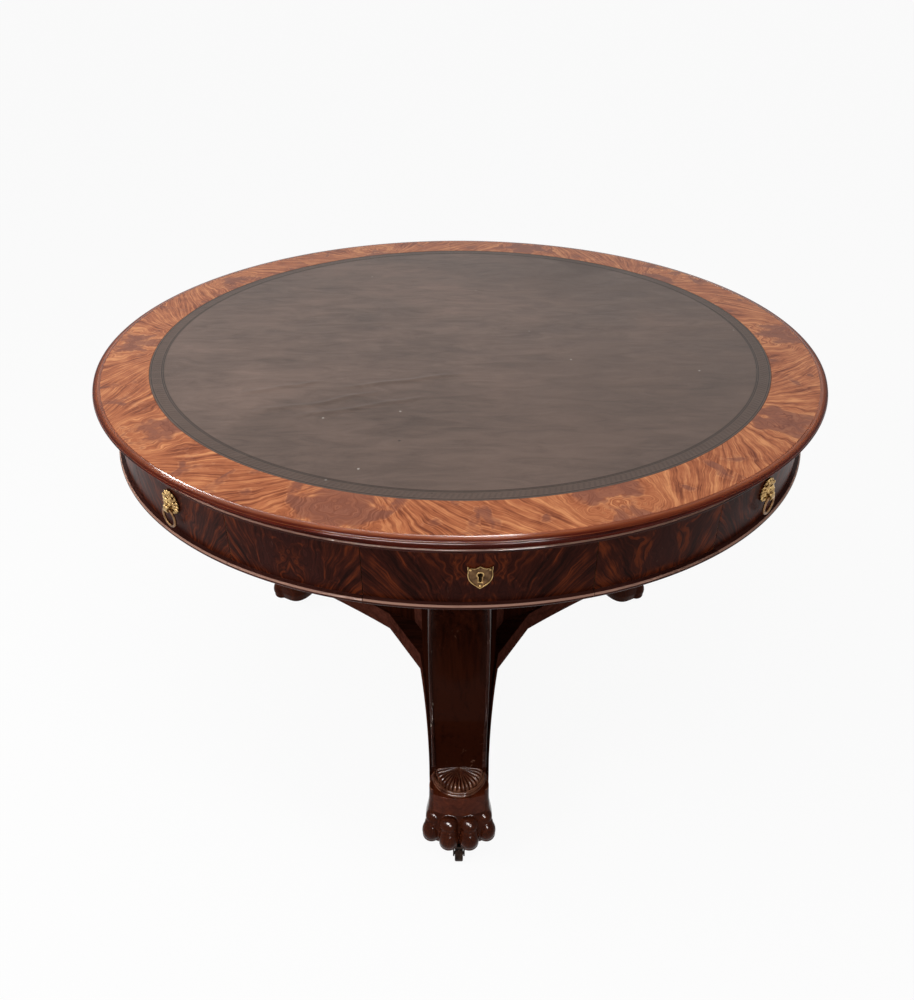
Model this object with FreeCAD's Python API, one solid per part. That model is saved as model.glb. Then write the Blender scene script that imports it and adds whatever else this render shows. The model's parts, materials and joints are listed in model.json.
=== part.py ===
import FreeCAD, Part
import math
import os

# Drum table: a revolving round top with drawers, on a three-legged base.
# Millimetres, +Z up, origin on the floor below the middle of the top, front towards -Y.

# Overall sizes
TOP_RADIUS = 590.0
TABLE_HEIGHT = 762.0
TOP_THICKNESS = 24.0
OVERHANG = 25.0
DRUM_DEPTH = 91.0
DRUM_TURN = 2.4

# Writing top
EDGE_WIDTH = 18.0
ARRIS_SETBACK = 12.0
NOSE_DROP = 7.0
UNDERCUT = 14.0
VENEER = 2.0
BAND_WIDTH = 65.0
BAND_SEGMENTS = 20
LEATHER_GAP = 0.4

# Frieze
FRIEZE_THICKNESS = 22.0
FRONT_THICKNESS = 20.0
BEAD_STAND = 5.5
BEAD_HEIGHT = 6.5
SEAM = 0.6
LOCK_FRONT_WIDTH = 283.0
RING_FRONT_WIDTH = 217.0

# Drum carcase
FLOOR_THICKNESS = 14.0
RIB_THICKNESS = 24.0
RIB_LENGTH = 52.0
GUIDE_WIDTH = 12.0
GUIDE_HEIGHT = 18.0
GUIDE_PLAY = 0.5
CARCASE_GAP = 6.0
PILLAR_GAP = 24.0

# Drawer boxes
FRONT_LAP = 11.0
BOARD = 9.0
SIDE_HEADROOM = 10.5
BOTTOM_THICKNESS = 6.0
BOTTOM_RAISE = 3.0

# Turning pivot
SPINDLE_RADIUS = 15.0
SPINDLE_DEPTH = 60.0
SPINDLE_HEAD_GAP = 6.0
BUSH_WALL = 7.0
BUSH_LENGTH = 70.0
RUNNING_CLEARANCE = 0.05
TURNTABLE_RADIUS = 250.0
TURNTABLE_WIDTH = 50.0
TURNTABLE_THICKNESS = 15.0

# Base
PLATFORM_THICKNESS = 42.0
HUB_CORNER_RADIUS = 125.0
HUB_HALF_WIDTH = 78.0
ARM_END = 418.0
ARM_END_HALF_WIDTH = 50.0
ARM_HOLLOW = 4.5
CORE_FACE = 94.0
CORE_LEG_FACE = 65.0
BEARER_THICKNESS = 24.0
BEARER_REACH = 440.0

# Legs
LEG_INSET = 6.0
LEG_TOE_THICKNESS = 21.0
LEG_SWEEP_START = 46.0
LEG_WAIST_RADIUS = 293.0
LEG_WAIST_HEIGHT = 140.0
LEG_TOE_PULL = 150.0
LEG_WAIST_PULL = 330.0
LEG_TOP_PULL = 420.0
LEG_TOP_LEAN = 55.0
LEG_BEAD_WIDTH = 6.0
LEG_BEAD_STAND = 3.0

# Feet
PAW_HEIGHT = 60.0
ANKLE_HEIGHT = 53.0
ANKLE_DEPTH = 47.0
ANKLE_BOW = 11.0
PAW_HALF_WIDTH = 57.0
PAW_LENGTH = 94.0
PAW_SET_FORWARD = 17.0
TOE_COUNT = 4
TOE_SPREAD = 37.0
TOE_KNUCKLE_RADIUS = 15.0
TOE_TIP_RADIUS = 12.0
TOE_KNUCKLE_REACH = 39.0
TOE_KNUCKLE_DROP = 22.0
TOE_TIP_REACH = 47.0
SOLE_TUCK = 8.0
PAW_SWELL_HEIGHT = 26.0
NECK_DEPTH = 24.0
ANKLE_INSET = 2.0
SHELL_MARGIN = 1.0
SHELL_FALL = 5.0
SHELL_FLUTES = 16
SHELL_EYE = 6.0
FLUTE_RADIUS = 2.4
RIM_WIDTH = 5.0
RIM_HEIGHT = 9.0

# Castors
CASTOR_SET_FORWARD = 43.0
CASTOR_TRAIL = 9.0
WHEEL_RADIUS = 14.0
WHEEL_WIDTH = 14.0
WHEEL_ROUND = 2.5
WHEEL_PLAY = 0.6
FORK_THICKNESS = 2.5
FORK_WIDTH = 11.0
AXLE_RADIUS = 3.0
HORN_RADIUS = 15.0
HORN_THICKNESS = 4.0
HORN_GAP = 3.0
SWIVEL_PIN_RADIUS = 5.0
SWIVEL_PIN_LENGTH = 30.0
SOCKET_WALL = 3.0
PLATE_RADIUS = 15.0
PLATE_THICKNESS = 3.0

# Lock and shield
SHIELD_WIDTH = 31.0
SHIELD_HEIGHT = 34.0
SHIELD_THICKNESS = 2.4
SHIELD_SCOOP = 3.5
SHIELD_SHOULDER = 12.0
SHIELD_FLANK = 3.2
KEYHOLE_RADIUS = 3.0
KEYHOLE_SLOT = 3.2
KEYHOLE_HEIGHT = 13.0
KEYHOLE_CLEARANCE = 1.0
LOCK_WIDTH = 64.0
LOCK_FOOT_GAP = 2.0
LOCK_DEPTH = 12.0
LOCK_LET_IN = 6.0

# Lion mask and ring
MASK_RADIUS = 18.0
MASK_RIM = 3.0
MASK_LOBES = 12
LOBE_RADIUS = 4.2
HEAD_RADIUS = 11.5
HEAD_RISE = 3.5
MOUTH_DROP = 8.0
MOUTH_STAND = 8.5
JAW_RADIUS = 4.8
JAW_WIDTH = 9.0
MASK_RAISE = 9.0
RING_RADIUS = 13.5
RING_WIRE = 1.9
RING_PLAY = 0.33

# Names of the repeated pieces, from the front round to the right
LEG_NAMES = ["front", "right", "left"]
LOCK_NAMES = ["front", "right", "back", "left"]
RING_NAMES = ["front_right", "back_right", "back_left", "front_left"]

# Directions
ORIGIN = FreeCAD.Vector(0, 0, 0)
UP = FreeCAD.Vector(0, 0, 1)
OUTWARD = FreeCAD.Vector(1, 0, 0)
SIDEWAYS = FreeCAD.Vector(0, 1, 0)
FRONT_ANGLE = -90.0
LEG_PITCH = 360 / len(LEG_NAMES)
LEG_ANGLES = [FRONT_ANGLE + place * LEG_PITCH for place in range(len(LEG_NAMES))]
DRAWER_PITCH = 360 / (len(LOCK_NAMES) + len(RING_NAMES))
PITCH_SINE = math.sin(math.radians(DRAWER_PITCH))
PITCH_COSINE = math.cos(math.radians(DRAWER_PITCH))
DIAGONAL = math.sqrt(0.5)

# Top and frieze, worked out from the sizes above
TOP_UNDERSIDE = TABLE_HEIGHT - TOP_THICKNESS
BAND_BED = TABLE_HEIGHT - VENEER
BOARD_RADIUS = TOP_RADIUS - EDGE_WIDTH
LEATHER_RADIUS = BOARD_RADIUS - BAND_WIDTH
FRIEZE_RADIUS = TOP_RADIUS - OVERHANG
FRIEZE_INSIDE = FRIEZE_RADIUS - FRIEZE_THICKNESS
FRONT_INSIDE = FRIEZE_RADIUS - FRONT_THICKNESS
BEAD_REACH = FRIEZE_RADIUS + BEAD_STAND
DRUM_UNDERSIDE = TOP_UNDERSIDE - DRUM_DEPTH
FLOOR_TOP = DRUM_UNDERSIDE + FLOOR_THICKNESS
BEAD_LOW = DRUM_UNDERSIDE + BEAD_HEIGHT
BEAD_HIGH = TOP_UNDERSIDE - BEAD_HEIGHT
FRONT_TOP = BEAD_HIGH - SEAM
FRONT_MIDDLE = (BEAD_LOW + FRONT_TOP) / 2

# Drawers and carcase
SIDE_TOP = BEAD_HIGH - SIDE_HEADROOM
LOCK_HALF = LOCK_FRONT_WIDTH / 2
RING_HALF = RING_FRONT_WIDTH / 2
LOCK_BOX_HALF = LOCK_HALF - FRONT_LAP
RING_BOX_HALF = RING_HALF - FRONT_LAP
GUIDE_SPAN = GUIDE_PLAY + GUIDE_WIDTH
LOCK_BAY_HALF = LOCK_BOX_HALF + GUIDE_SPAN + CARCASE_GAP
RING_BAY_HALF = RING_BOX_HALF + GUIDE_SPAN
LOCK_BOX_BACK = LOCK_BAY_HALF + BOARD
RING_BOX_BACK = (LOCK_BAY_HALF + RING_BAY_HALF * PITCH_COSINE) / PITCH_SINE
PILLAR_RADIUS = LOCK_BOX_BACK - PILLAR_GAP
BUSH_RADIUS = SPINDLE_RADIUS + RUNNING_CLEARANCE + BUSH_WALL
BOTTOM_TOP = FLOOR_TOP + BOTTOM_RAISE + BOTTOM_THICKNESS
LOCK_BED = FRONT_INSIDE + LOCK_LET_IN
LOCK_LOW = BOTTOM_TOP + LOCK_FOOT_GAP
LOCK_TOP = 2 * FRONT_MIDDLE - LOCK_LOW
MASK_MIDDLE = FRONT_MIDDLE + MASK_RAISE
MOUTH_HEIGHT = MASK_MIDDLE - MOUTH_DROP
MOUTH_REACH = FRIEZE_RADIUS + MOUTH_STAND

# A ring's top curves away from a straight bore by this much over half the jaw
RING_DROP = JAW_WIDTH ** 2 / (16 * RING_RADIUS)
MOUTH_BORE = RING_WIRE + RING_DROP + RING_PLAY

# Castors
CASTOR_RADIUS = ARM_END + CASTOR_SET_FORWARD
AXLE_PLACE = CASTOR_RADIUS + CASTOR_TRAIL
FORK_INSIDE = WHEEL_WIDTH / 2 + WHEEL_PLAY
FORK_OUTSIDE = FORK_INSIDE + FORK_THICKNESS
HORN_LOW = WHEEL_RADIUS * 2 + HORN_GAP
HORN_TOP = HORN_LOW + HORN_THICKNESS
PIN_TOP = HORN_TOP + SWIVEL_PIN_LENGTH
PLATE_TOP = HORN_TOP + PLATE_THICKNESS
SOCKET_BORE = SWIVEL_PIN_RADIUS + RUNNING_CLEARANCE
SOCKET_RADIUS = SOCKET_BORE + SOCKET_WALL

# Base
BEARER_TOP = DRUM_UNDERSIDE - TURNTABLE_THICKNESS
LEG_TOP = BEARER_TOP - BEARER_THICKNESS
PAW_TOP = PLATE_TOP + PAW_HEIGHT
PLATFORM_TOP = PAW_TOP + ANKLE_HEIGHT
PLATFORM_UNDERSIDE = PLATFORM_TOP - PLATFORM_THICKNESS
CORE_SECTOR = math.radians(LEG_PITCH / 2)
CORE_LEG_HALF = (CORE_FACE - CORE_LEG_FACE * math.cos(CORE_SECTOR)) / math.sin(CORE_SECTOR)
SHELL_RADIUS = ANKLE_DEPTH - RIM_WIDTH - SHELL_MARGIN


def point(x, y, z):
    """A point in space."""
    return FreeCAD.Vector(x, y, z)


def block(x0, x1, half_width, z0, z1):
    """A box along the local radius, centred sideways."""
    corner = point(x0, -half_width, z0)
    return Part.makeBox(x1 - x0, 2 * half_width, z1 - z0, corner)


def disc(radius, z0, z1, x=0.0):
    """A round plate."""
    return Part.makeCylinder(radius, z1 - z0, point(x, 0, z0))


def ring(inside, outside, z0, z1, x=0.0):
    """A flat ring."""
    return disc(outside, z0, z1, x).cut(disc(inside, z0, z1, x))


def across(radius, length, x, z):
    """A round bar that lies sideways across the local radius."""
    return Part.makeCylinder(radius, length, point(x, -length / 2, z), SIDEWAYS)


def turned(shape, angle):
    """A copy of a shape, turned about the middle of the table."""
    copy = shape.copy()
    copy.rotate(ORIGIN, UP, angle)
    return copy


def line(a, b):
    """A straight edge."""
    return Part.makeLine(a, b)


def arc(a, b, c):
    """A round edge through three points."""
    return Part.Arc(a, b, c).toShape()


def face_of(edges):
    """A flat face bounded by edges in order."""
    return Part.Face(Part.Wire(edges))


def revolved(edges):
    """A profile in the upright plane, turned about the middle of the table."""
    return face_of(edges).revolve(ORIGIN, UP, 360)


def save(shape, name):
    """Writes one piece, or one group of like pieces."""
    shape.exportStep("parts/" + name + ".step")


def save_group(shapes, name):
    """Writes a group of separate solids under one name."""
    save(Part.makeCompound(shapes), name)


def drawer_angles(first):
    """Directions of every second drawer, from the front round to the right."""
    start = FRONT_ANGLE + DRUM_TURN + first * DRAWER_PITCH
    return [start + 2 * step * DRAWER_PITCH for step in range(len(LOCK_NAMES))]


# Writing top


def make_top_board():
    """The round board that carries the leather and the banding."""
    return disc(BOARD_RADIUS, TOP_UNDERSIDE, BAND_BED)


def make_edge_moulding():
    """The polished thumb moulding round the board, hollowed below its nose."""
    arris = TOP_RADIUS - ARRIS_SETBACK
    nose = TABLE_HEIGHT - NOSE_DROP
    foot = TOP_RADIUS - UNDERCUT
    upper = arc(
        point(arris, 0, TABLE_HEIGHT),
        point(arris + ARRIS_SETBACK * DIAGONAL, 0, nose + NOSE_DROP * DIAGONAL),
        point(TOP_RADIUS, 0, nose),
    )
    lower = arc(
        point(TOP_RADIUS, 0, nose),
        point(TOP_RADIUS - UNDERCUT * DIAGONAL, 0, TOP_UNDERSIDE + (nose - TOP_UNDERSIDE) * DIAGONAL),
        point(foot, 0, TOP_UNDERSIDE),
    )
    return revolved([
        line(point(BOARD_RADIUS, 0, TOP_UNDERSIDE), point(BOARD_RADIUS, 0, TABLE_HEIGHT)),
        line(point(BOARD_RADIUS, 0, TABLE_HEIGHT), point(arris, 0, TABLE_HEIGHT)),
        upper,
        lower,
        line(point(foot, 0, TOP_UNDERSIDE), point(BOARD_RADIUS, 0, TOP_UNDERSIDE)),
    ])


def make_crossbanding():
    """Flame veneer laid in segments round the leather."""
    step = 360 / BAND_SEGMENTS
    radial = face_of([
        line(point(LEATHER_RADIUS, 0, BAND_BED), point(BOARD_RADIUS, 0, BAND_BED)),
        line(point(BOARD_RADIUS, 0, BAND_BED), point(BOARD_RADIUS, 0, TABLE_HEIGHT)),
        line(point(BOARD_RADIUS, 0, TABLE_HEIGHT), point(LEATHER_RADIUS, 0, TABLE_HEIGHT)),
        line(point(LEATHER_RADIUS, 0, TABLE_HEIGHT), point(LEATHER_RADIUS, 0, BAND_BED)),
    ])
    segment = radial.revolve(ORIGIN, UP, step)
    start = FRONT_ANGLE + DRUM_TURN
    return [turned(segment, start + step * place) for place in range(BAND_SEGMENTS)]


def make_leather():
    """The leather writing surface, let in flush with the banding."""
    return disc(LEATHER_RADIUS - LEATHER_GAP, BAND_BED, TABLE_HEIGHT)


# Frieze


def bead_profile(inside, low, high):
    """A flat strip with a half-round nose that stands proud of the frieze."""
    shoulder = BEAD_REACH - (high - low) / 2
    return [
        line(point(inside, 0, low), point(shoulder, 0, low)),
        arc(point(shoulder, 0, low), point(BEAD_REACH, 0, (low + high) / 2), point(shoulder, 0, high)),
        line(point(shoulder, 0, high), point(inside, 0, high)),
        line(point(inside, 0, high), point(inside, 0, low)),
    ]


def drawer_gaps():
    """The openings that the drawer fronts fill, as plain blocks."""
    gaps = []
    for first, half_width in enumerate((LOCK_HALF, RING_HALF)):
        gap = block(0, TOP_RADIUS, half_width + SEAM, DRUM_UNDERSIDE, BEAD_HIGH)
        gaps.extend(turned(gap, angle) for angle in drawer_angles(first))
    return gaps


def make_upper_bead():
    """The bead and rail under the top, above the drawers."""
    return revolved(bead_profile(FRIEZE_INSIDE, BEAD_HIGH, TOP_UNDERSIDE))


def make_frieze_panels(gaps):
    """The fixed veneered panels between the drawers."""
    return ring(FRIEZE_INSIDE, FRIEZE_RADIUS, BEAD_LOW, BEAD_HIGH).cut(gaps).Solids


def make_lower_bead(gaps):
    """The lengths of lower bead under the fixed panels."""
    return revolved(bead_profile(FRIEZE_INSIDE, DRUM_UNDERSIDE, BEAD_LOW)).cut(gaps).Solids


# Drum carcase


def make_drum_floor():
    """The bottom board of the drum, bored for the pivot bush."""
    return ring(BUSH_RADIUS, FRIEZE_INSIDE, DRUM_UNDERSIDE, FLOOR_TOP)


def make_drum_pillar():
    """The middle block that ties the bottom board to the top."""
    pillar = disc(PILLAR_RADIUS, FLOOR_TOP, TOP_UNDERSIDE)
    return pillar.cut(disc(BUSH_RADIUS, FLOOR_TOP, DRUM_UNDERSIDE + BUSH_LENGTH))


def make_pivot_bush():
    """The bush that turns on the spindle."""
    inside = SPINDLE_RADIUS + RUNNING_CLEARANCE
    return ring(inside, BUSH_RADIUS, DRUM_UNDERSIDE, DRUM_UNDERSIDE + BUSH_LENGTH)


def make_carcase_ribs():
    """Boards behind the fixed panels that tie the bottom board to the top."""
    lock_seam = math.degrees(math.asin(LOCK_HALF / FRIEZE_RADIUS))
    ring_seam = math.degrees(math.asin(RING_HALF / FRIEZE_RADIUS))
    lean = (lock_seam + DRAWER_PITCH - ring_seam) / 2
    rib = block(FRIEZE_INSIDE - RIB_LENGTH, FRIEZE_RADIUS, RIB_THICKNESS / 2, FLOOR_TOP, TOP_UNDERSIDE)
    rib = rib.common(disc(FRIEZE_INSIDE, FLOOR_TOP, TOP_UNDERSIDE))
    ribs = []
    for angle in drawer_angles(0):
        ribs.append(turned(rib, angle + lean))
        ribs.append(turned(rib, angle - lean))
    return ribs


def make_guides():
    """Strips on the bottom board that keep each drawer straight."""
    plan = disc(FRIEZE_INSIDE, FLOOR_TOP, FLOOR_TOP + GUIDE_HEIGHT)
    guides = []
    for first, half, back in ((0, LOCK_BOX_HALF, LOCK_BOX_BACK), (1, RING_BOX_HALF, RING_BOX_BACK)):
        corner = point(back, half + GUIDE_PLAY, FLOOR_TOP)
        strip = Part.makeBox(FRIEZE_INSIDE - back, GUIDE_WIDTH, GUIDE_HEIGHT, corner).common(plan)
        mirrored = strip.mirror(ORIGIN, SIDEWAYS)
        for angle in drawer_angles(first):
            guides.append(turned(strip, angle))
            guides.append(turned(mirrored, angle))
    return guides


# Drawers, made along the local radius


def make_front(half_width):
    """A bowed drawer front and the length of bead below it."""
    window = block(0, TOP_RADIUS, half_width, DRUM_UNDERSIDE, FRONT_TOP)
    panel = ring(FRONT_INSIDE, FRIEZE_RADIUS, BEAD_LOW, FRONT_TOP).common(window)
    bead = revolved(bead_profile(FRONT_INSIDE, DRUM_UNDERSIDE, BEAD_LOW)).common(window)
    return panel.Solids[0], bead.Solids[0]


def make_box(half_width, back):
    """Two sides, a back and a bottom, butted against the bowed front."""
    plan = disc(FRONT_INSIDE, FLOOR_TOP, SIDE_TOP)
    height = SIDE_TOP - FLOOR_TOP
    inside = half_width - BOARD
    side = Part.makeBox(FRONT_INSIDE - back, BOARD, height, point(back, inside, FLOOR_TOP)).common(plan)
    rear = block(back, back + BOARD, inside, FLOOR_TOP, SIDE_TOP)
    low = BOTTOM_TOP - BOTTOM_THICKNESS
    bottom = block(back + BOARD, FRONT_INSIDE, inside, low, BOTTOM_TOP).common(plan)
    return [side, side.mirror(ORIGIN, SIDEWAYS), rear, bottom]


def keyhole(x0, x1, clearance):
    """A round hole above a slot, through from x0 to x1."""
    radius = KEYHOLE_RADIUS + clearance
    top = FRONT_MIDDLE + KEYHOLE_HEIGHT / 2
    eye = Part.makeCylinder(radius, x1 - x0, point(x0, 0, top - KEYHOLE_RADIUS), OUTWARD)
    low = top - KEYHOLE_HEIGHT - clearance
    slot = block(x0, x1, KEYHOLE_SLOT / 2 + clearance, low, top - KEYHOLE_RADIUS)
    return eye.fuse(slot)


def make_lock_front():
    """A drawer front let in for its lock and pierced for the key."""
    panel, bead = make_front(LOCK_HALF)
    bed = block(0, LOCK_BED, LOCK_WIDTH / 2, LOCK_LOW, LOCK_TOP)
    panel = panel.cut(bed).cut(keyhole(0, TOP_RADIUS, KEYHOLE_CLEARANCE))
    return [panel, bead]


def make_lock():
    """The lock case in its bed, and the shield-shaped plate round the keyhole."""
    back = LOCK_BED - LOCK_DEPTH
    case = block(back, LOCK_BED, LOCK_WIDTH / 2, LOCK_LOW, LOCK_TOP)
    case = case.cut(keyhole((back + LOCK_BED) / 2, LOCK_BED, 0))
    half = SHIELD_WIDTH / 2
    top = FRONT_MIDDLE + SHIELD_HEIGHT / 2
    foot = FRONT_MIDDLE - SHIELD_HEIGHT / 2
    x = FRIEZE_RADIUS - SHIELD_THICKNESS
    shoulder = top - SHIELD_SHOULDER
    flank_half = half / 2 + SHIELD_FLANK
    flank = (shoulder + foot) / 2
    shield = face_of([
        arc(point(x, -half, top), point(x, -half / 2, top - SHIELD_SCOOP), point(x, 0, top)),
        arc(point(x, 0, top), point(x, half / 2, top - SHIELD_SCOOP), point(x, half, top)),
        line(point(x, half, top), point(x, half, shoulder)),
        arc(point(x, half, shoulder), point(x, flank_half, flank), point(x, 0, foot)),
        arc(point(x, 0, foot), point(x, -flank_half, flank), point(x, -half, shoulder)),
        line(point(x, -half, shoulder), point(x, -half, top)),
    ]).extrude(point(2 * SHIELD_THICKNESS, 0, 0))
    shield = shield.cut(disc(FRIEZE_RADIUS, foot, top))
    shield = shield.cut(keyhole(x, TOP_RADIUS, 0))
    return [case, shield]


def make_mask():
    """A lion mask: lobed mane, domed head and a pierced mouth."""
    seat = FRIEZE_RADIUS - MASK_RIM
    middle = point(seat, 0, MASK_MIDDLE)
    mane = Part.makeCylinder(MASK_RADIUS - LOBE_RADIUS, 2 * MASK_RIM, middle, OUTWARD)
    for lobe in range(MASK_LOBES):
        turn = math.radians((lobe + 0.5) * 360 / MASK_LOBES)
        across_mask = (MASK_RADIUS - LOBE_RADIUS) * math.cos(turn)
        along_mask = (MASK_RADIUS - LOBE_RADIUS) * math.sin(turn)
        start = point(seat, across_mask, MASK_MIDDLE + along_mask)
        mane = mane.fuse(Part.makeCylinder(LOBE_RADIUS, 2 * MASK_RIM, start, OUTWARD))
    head = Part.makeSphere(HEAD_RADIUS, point(FRIEZE_RADIUS, 0, MASK_MIDDLE + HEAD_RISE))
    neck = Part.makeBox(
        MOUTH_STAND + MASK_RIM, JAW_WIDTH, JAW_RADIUS, point(seat, -JAW_WIDTH / 2, MOUTH_HEIGHT)
    )
    jaw = across(JAW_RADIUS, JAW_WIDTH, MOUTH_REACH, MOUTH_HEIGHT)
    mask = mane.fuse([head, neck, jaw])
    mask = mask.cut(across(MOUTH_BORE, 2 * MASK_RADIUS, MOUTH_REACH, MOUTH_HEIGHT))
    return mask.cut(disc(FRIEZE_RADIUS, MASK_MIDDLE - 2 * MASK_RADIUS, MASK_MIDDLE + 2 * MASK_RADIUS))


def make_pull_ring():
    """The ring that hangs from the lion's mouth."""
    middle = point(MOUTH_REACH, 0, MOUTH_HEIGHT + RING_DROP - RING_RADIUS)
    return Part.makeTorus(RING_RADIUS, RING_WIRE, middle, OUTWARD)


# Base, made along the local radius


def arm_edges(reach, inset, root_radius, root_half):
    """Both sides of a tapering arm with slightly hollow edges, and its square end."""
    middle = (HUB_CORNER_RADIUS + reach) / 2
    middle_half = (HUB_HALF_WIDTH + ARM_END_HALF_WIDTH) / 2 - ARM_HOLLOW
    sides = []
    for side in (1, -1):
        root = point(root_radius, side * root_half, 0)
        hub = point(HUB_CORNER_RADIUS, side * (HUB_HALF_WIDTH - inset), 0)
        waist = point(middle, side * (middle_half - inset), 0)
        end = point(reach, side * (ARM_END_HALF_WIDTH - inset), 0)
        sides.append((root, hub, waist, end))
    left, right = sides
    return [
        line(right[0], right[1]),
        arc(right[1], right[2], right[3]),
        line(right[3], left[3]),
        arc(left[3], left[2], left[1]),
        line(left[1], left[0]),
        line(left[0], right[0]),
    ]


def six_sided_prism(distance, half_width, z0, z1):
    """A prism with one face across each leg, given by its distance and half width."""
    reach = math.hypot(distance, half_width)
    spread = math.degrees(math.atan2(half_width, distance))
    corners = []
    for angle in LEG_ANGLES:
        for side in (-spread, spread):
            turn = math.radians(angle + side)
            corners.append(point(reach * math.cos(turn), reach * math.sin(turn), z0))
    corners.append(corners[0])
    return Part.Face(Part.makePolygon(corners)).extrude(UP * (z1 - z0))


def three_armed_plate(reach, z0, z1):
    """A hub with three tapering arms."""
    arm = face_of(arm_edges(reach, 0, 0, HUB_HALF_WIDTH)).extrude(UP * (z1 - z0))
    arm.translate(UP * z0)
    plate = six_sided_prism(HUB_CORNER_RADIUS, HUB_HALF_WIDTH, z0, z1)
    return plate.fuse([turned(arm, angle) for angle in LEG_ANGLES]).removeSplitter()


def make_platform():
    """The low three-armed platform."""
    return three_armed_plate(ARM_END, PLATFORM_UNDERSIDE, PLATFORM_TOP)


def make_bearer():
    """The three-armed bearer on top of the legs."""
    plate = three_armed_plate(BEARER_REACH, LEG_TOP, BEARER_TOP)
    return plate.cut(disc(SPINDLE_RADIUS, LEG_TOP, BEARER_TOP))


def make_core():
    """The six-sided middle of the base, with the legs on three of its faces."""
    core = six_sided_prism(CORE_LEG_FACE, CORE_LEG_HALF, PLATFORM_TOP, LEG_TOP)
    return core.cut(disc(SPINDLE_RADIUS, LEG_TOP - SPINDLE_DEPTH, LEG_TOP))


def leg_profile(stand):
    """The side view of a leg, its hollow front raised by a small stand."""
    lean = math.radians(LEG_TOP_LEAN)
    toe_z = PLATFORM_TOP + LEG_TOE_THICKNESS + stand
    sweep = point(ARM_END - LEG_SWEEP_START, 0, toe_z)
    waist = point(LEG_WAIST_RADIUS + stand, 0, PLATFORM_TOP + LEG_WAIST_HEIGHT)
    crown = point(BEARER_REACH + stand / math.sin(lean), 0, LEG_TOP)
    front = Part.BSplineCurve()
    front.interpolate(
        Points=[sweep, waist, crown],
        Tangents=[
            point(-LEG_TOE_PULL, 0, 0),
            point(0, 0, LEG_WAIST_PULL),
            point(LEG_TOP_PULL * math.cos(lean), 0, LEG_TOP_PULL * math.sin(lean)),
        ],
        TangentFlags=[True, True, True],
    )
    foot = point(CORE_LEG_FACE, 0, PLATFORM_TOP)
    toe = point(ARM_END, 0, PLATFORM_TOP)
    tip = point(ARM_END, 0, toe_z)
    head = point(CORE_LEG_FACE, 0, LEG_TOP)
    return face_of([
        line(foot, toe),
        line(toe, tip),
        line(tip, sweep),
        front.toShape(),
        line(crown, head),
        line(head, foot),
    ])


def leg_plan(inset):
    """The leg's plan as an upright prism, narrowed by an inset."""
    reach = max(ARM_END, BEARER_REACH) + LEG_BEAD_STAND * 2
    edges = arm_edges(reach, inset, CORE_LEG_FACE, CORE_LEG_HALF - inset + LEG_INSET)
    prism = face_of(edges).extrude(UP * (LEG_TOP - PLATFORM_TOP))
    prism.translate(UP * PLATFORM_TOP)
    return prism


def leg_slab(stand):
    """The leg's side view, drawn out across its whole width."""
    width = 2 * HUB_HALF_WIDTH
    slab = leg_profile(stand).extrude(SIDEWAYS * width)
    slab.translate(SIDEWAYS * (-width / 2))
    return slab


def make_leg():
    """A console leg: wide at the core, narrow at the toe, hollow in front."""
    return leg_slab(0).common(leg_plan(LEG_INSET)).Solids[0]


def make_leg_beads():
    """The two raised beads along the front edges of a leg."""
    raised = leg_slab(LEG_BEAD_STAND).cut(leg_slab(0))
    band = leg_plan(LEG_INSET).cut(leg_plan(LEG_INSET + LEG_BEAD_WIDTH))
    return raised.common(band).Solids


def make_spindle():
    """The fixed pin that the drum turns on."""
    top = DRUM_UNDERSIDE + BUSH_LENGTH - SPINDLE_HEAD_GAP
    return disc(SPINDLE_RADIUS, LEG_TOP - SPINDLE_DEPTH, top)


def make_turntable():
    """The ring that the drum's bottom board slides on."""
    return ring(TURNTABLE_RADIUS - TURNTABLE_WIDTH, TURNTABLE_RADIUS, BEARER_TOP, DRUM_UNDERSIDE)


# Feet


def toe_profile(length):
    """Half the side view of a toe: a large round, a small round and the slope between."""
    big = TOE_KNUCKLE_RADIUS
    small = TOE_TIP_RADIUS
    slope = math.acos((big - small) / length)
    back = (slope + math.pi) / 2
    nose = slope / 2
    heel = point(0, 0, -big)
    tip = point(0, 0, length + small)
    big_end = point(big * math.sin(slope), 0, big * math.cos(slope))
    small_end = point(small * math.sin(slope), 0, length + small * math.cos(slope))
    return face_of([
        arc(heel, point(big * math.sin(back), 0, big * math.cos(back)), big_end),
        line(big_end, small_end),
        arc(small_end, point(small * math.sin(nose), 0, length + small * math.cos(nose)), tip),
        line(tip, heel),
    ])


def make_toe(turn):
    """One toe that leans outward and down from its knuckle to its tip."""
    drop = PAW_HEIGHT - TOE_KNUCKLE_DROP - TOE_TIP_RADIUS
    run = TOE_TIP_REACH - TOE_KNUCKLE_REACH
    toe = toe_profile(math.hypot(run, drop)).revolve(ORIGIN, UP, 360)
    toe.rotate(ORIGIN, SIDEWAYS, 180 - math.degrees(math.atan2(run, drop)))
    toe.translate(point(TOE_KNUCKLE_REACH, 0, PAW_TOP - TOE_KNUCKLE_DROP))
    toe.rotate(ORIGIN, UP, turn)
    toe.translate(point(ARM_END + PAW_SET_FORWARD, 0, 0))
    return toe


def paw_section(z, half_length, half_width):
    """An oval level line of the paw, wider than it is long."""
    x = ARM_END + PAW_SET_FORWARD
    oval = Part.Ellipse(point(x, half_width, z), point(x - half_length, 0, z), point(x, 0, z))
    return Part.Wire(oval.toShape())


def make_paw():
    """The swelling body of the paw."""
    half_length = PAW_LENGTH / 2
    tucked = half_length - SOLE_TUCK
    return Part.makeLoft([
        paw_section(PLATE_TOP, tucked, PAW_HALF_WIDTH - SOLE_TUCK),
        paw_section(PLATE_TOP + PAW_SWELL_HEIGHT, half_length, PAW_HALF_WIDTH),
        paw_section(PAW_TOP, tucked, PAW_HALF_WIDTH - SOLE_TUCK),
    ], True)


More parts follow.
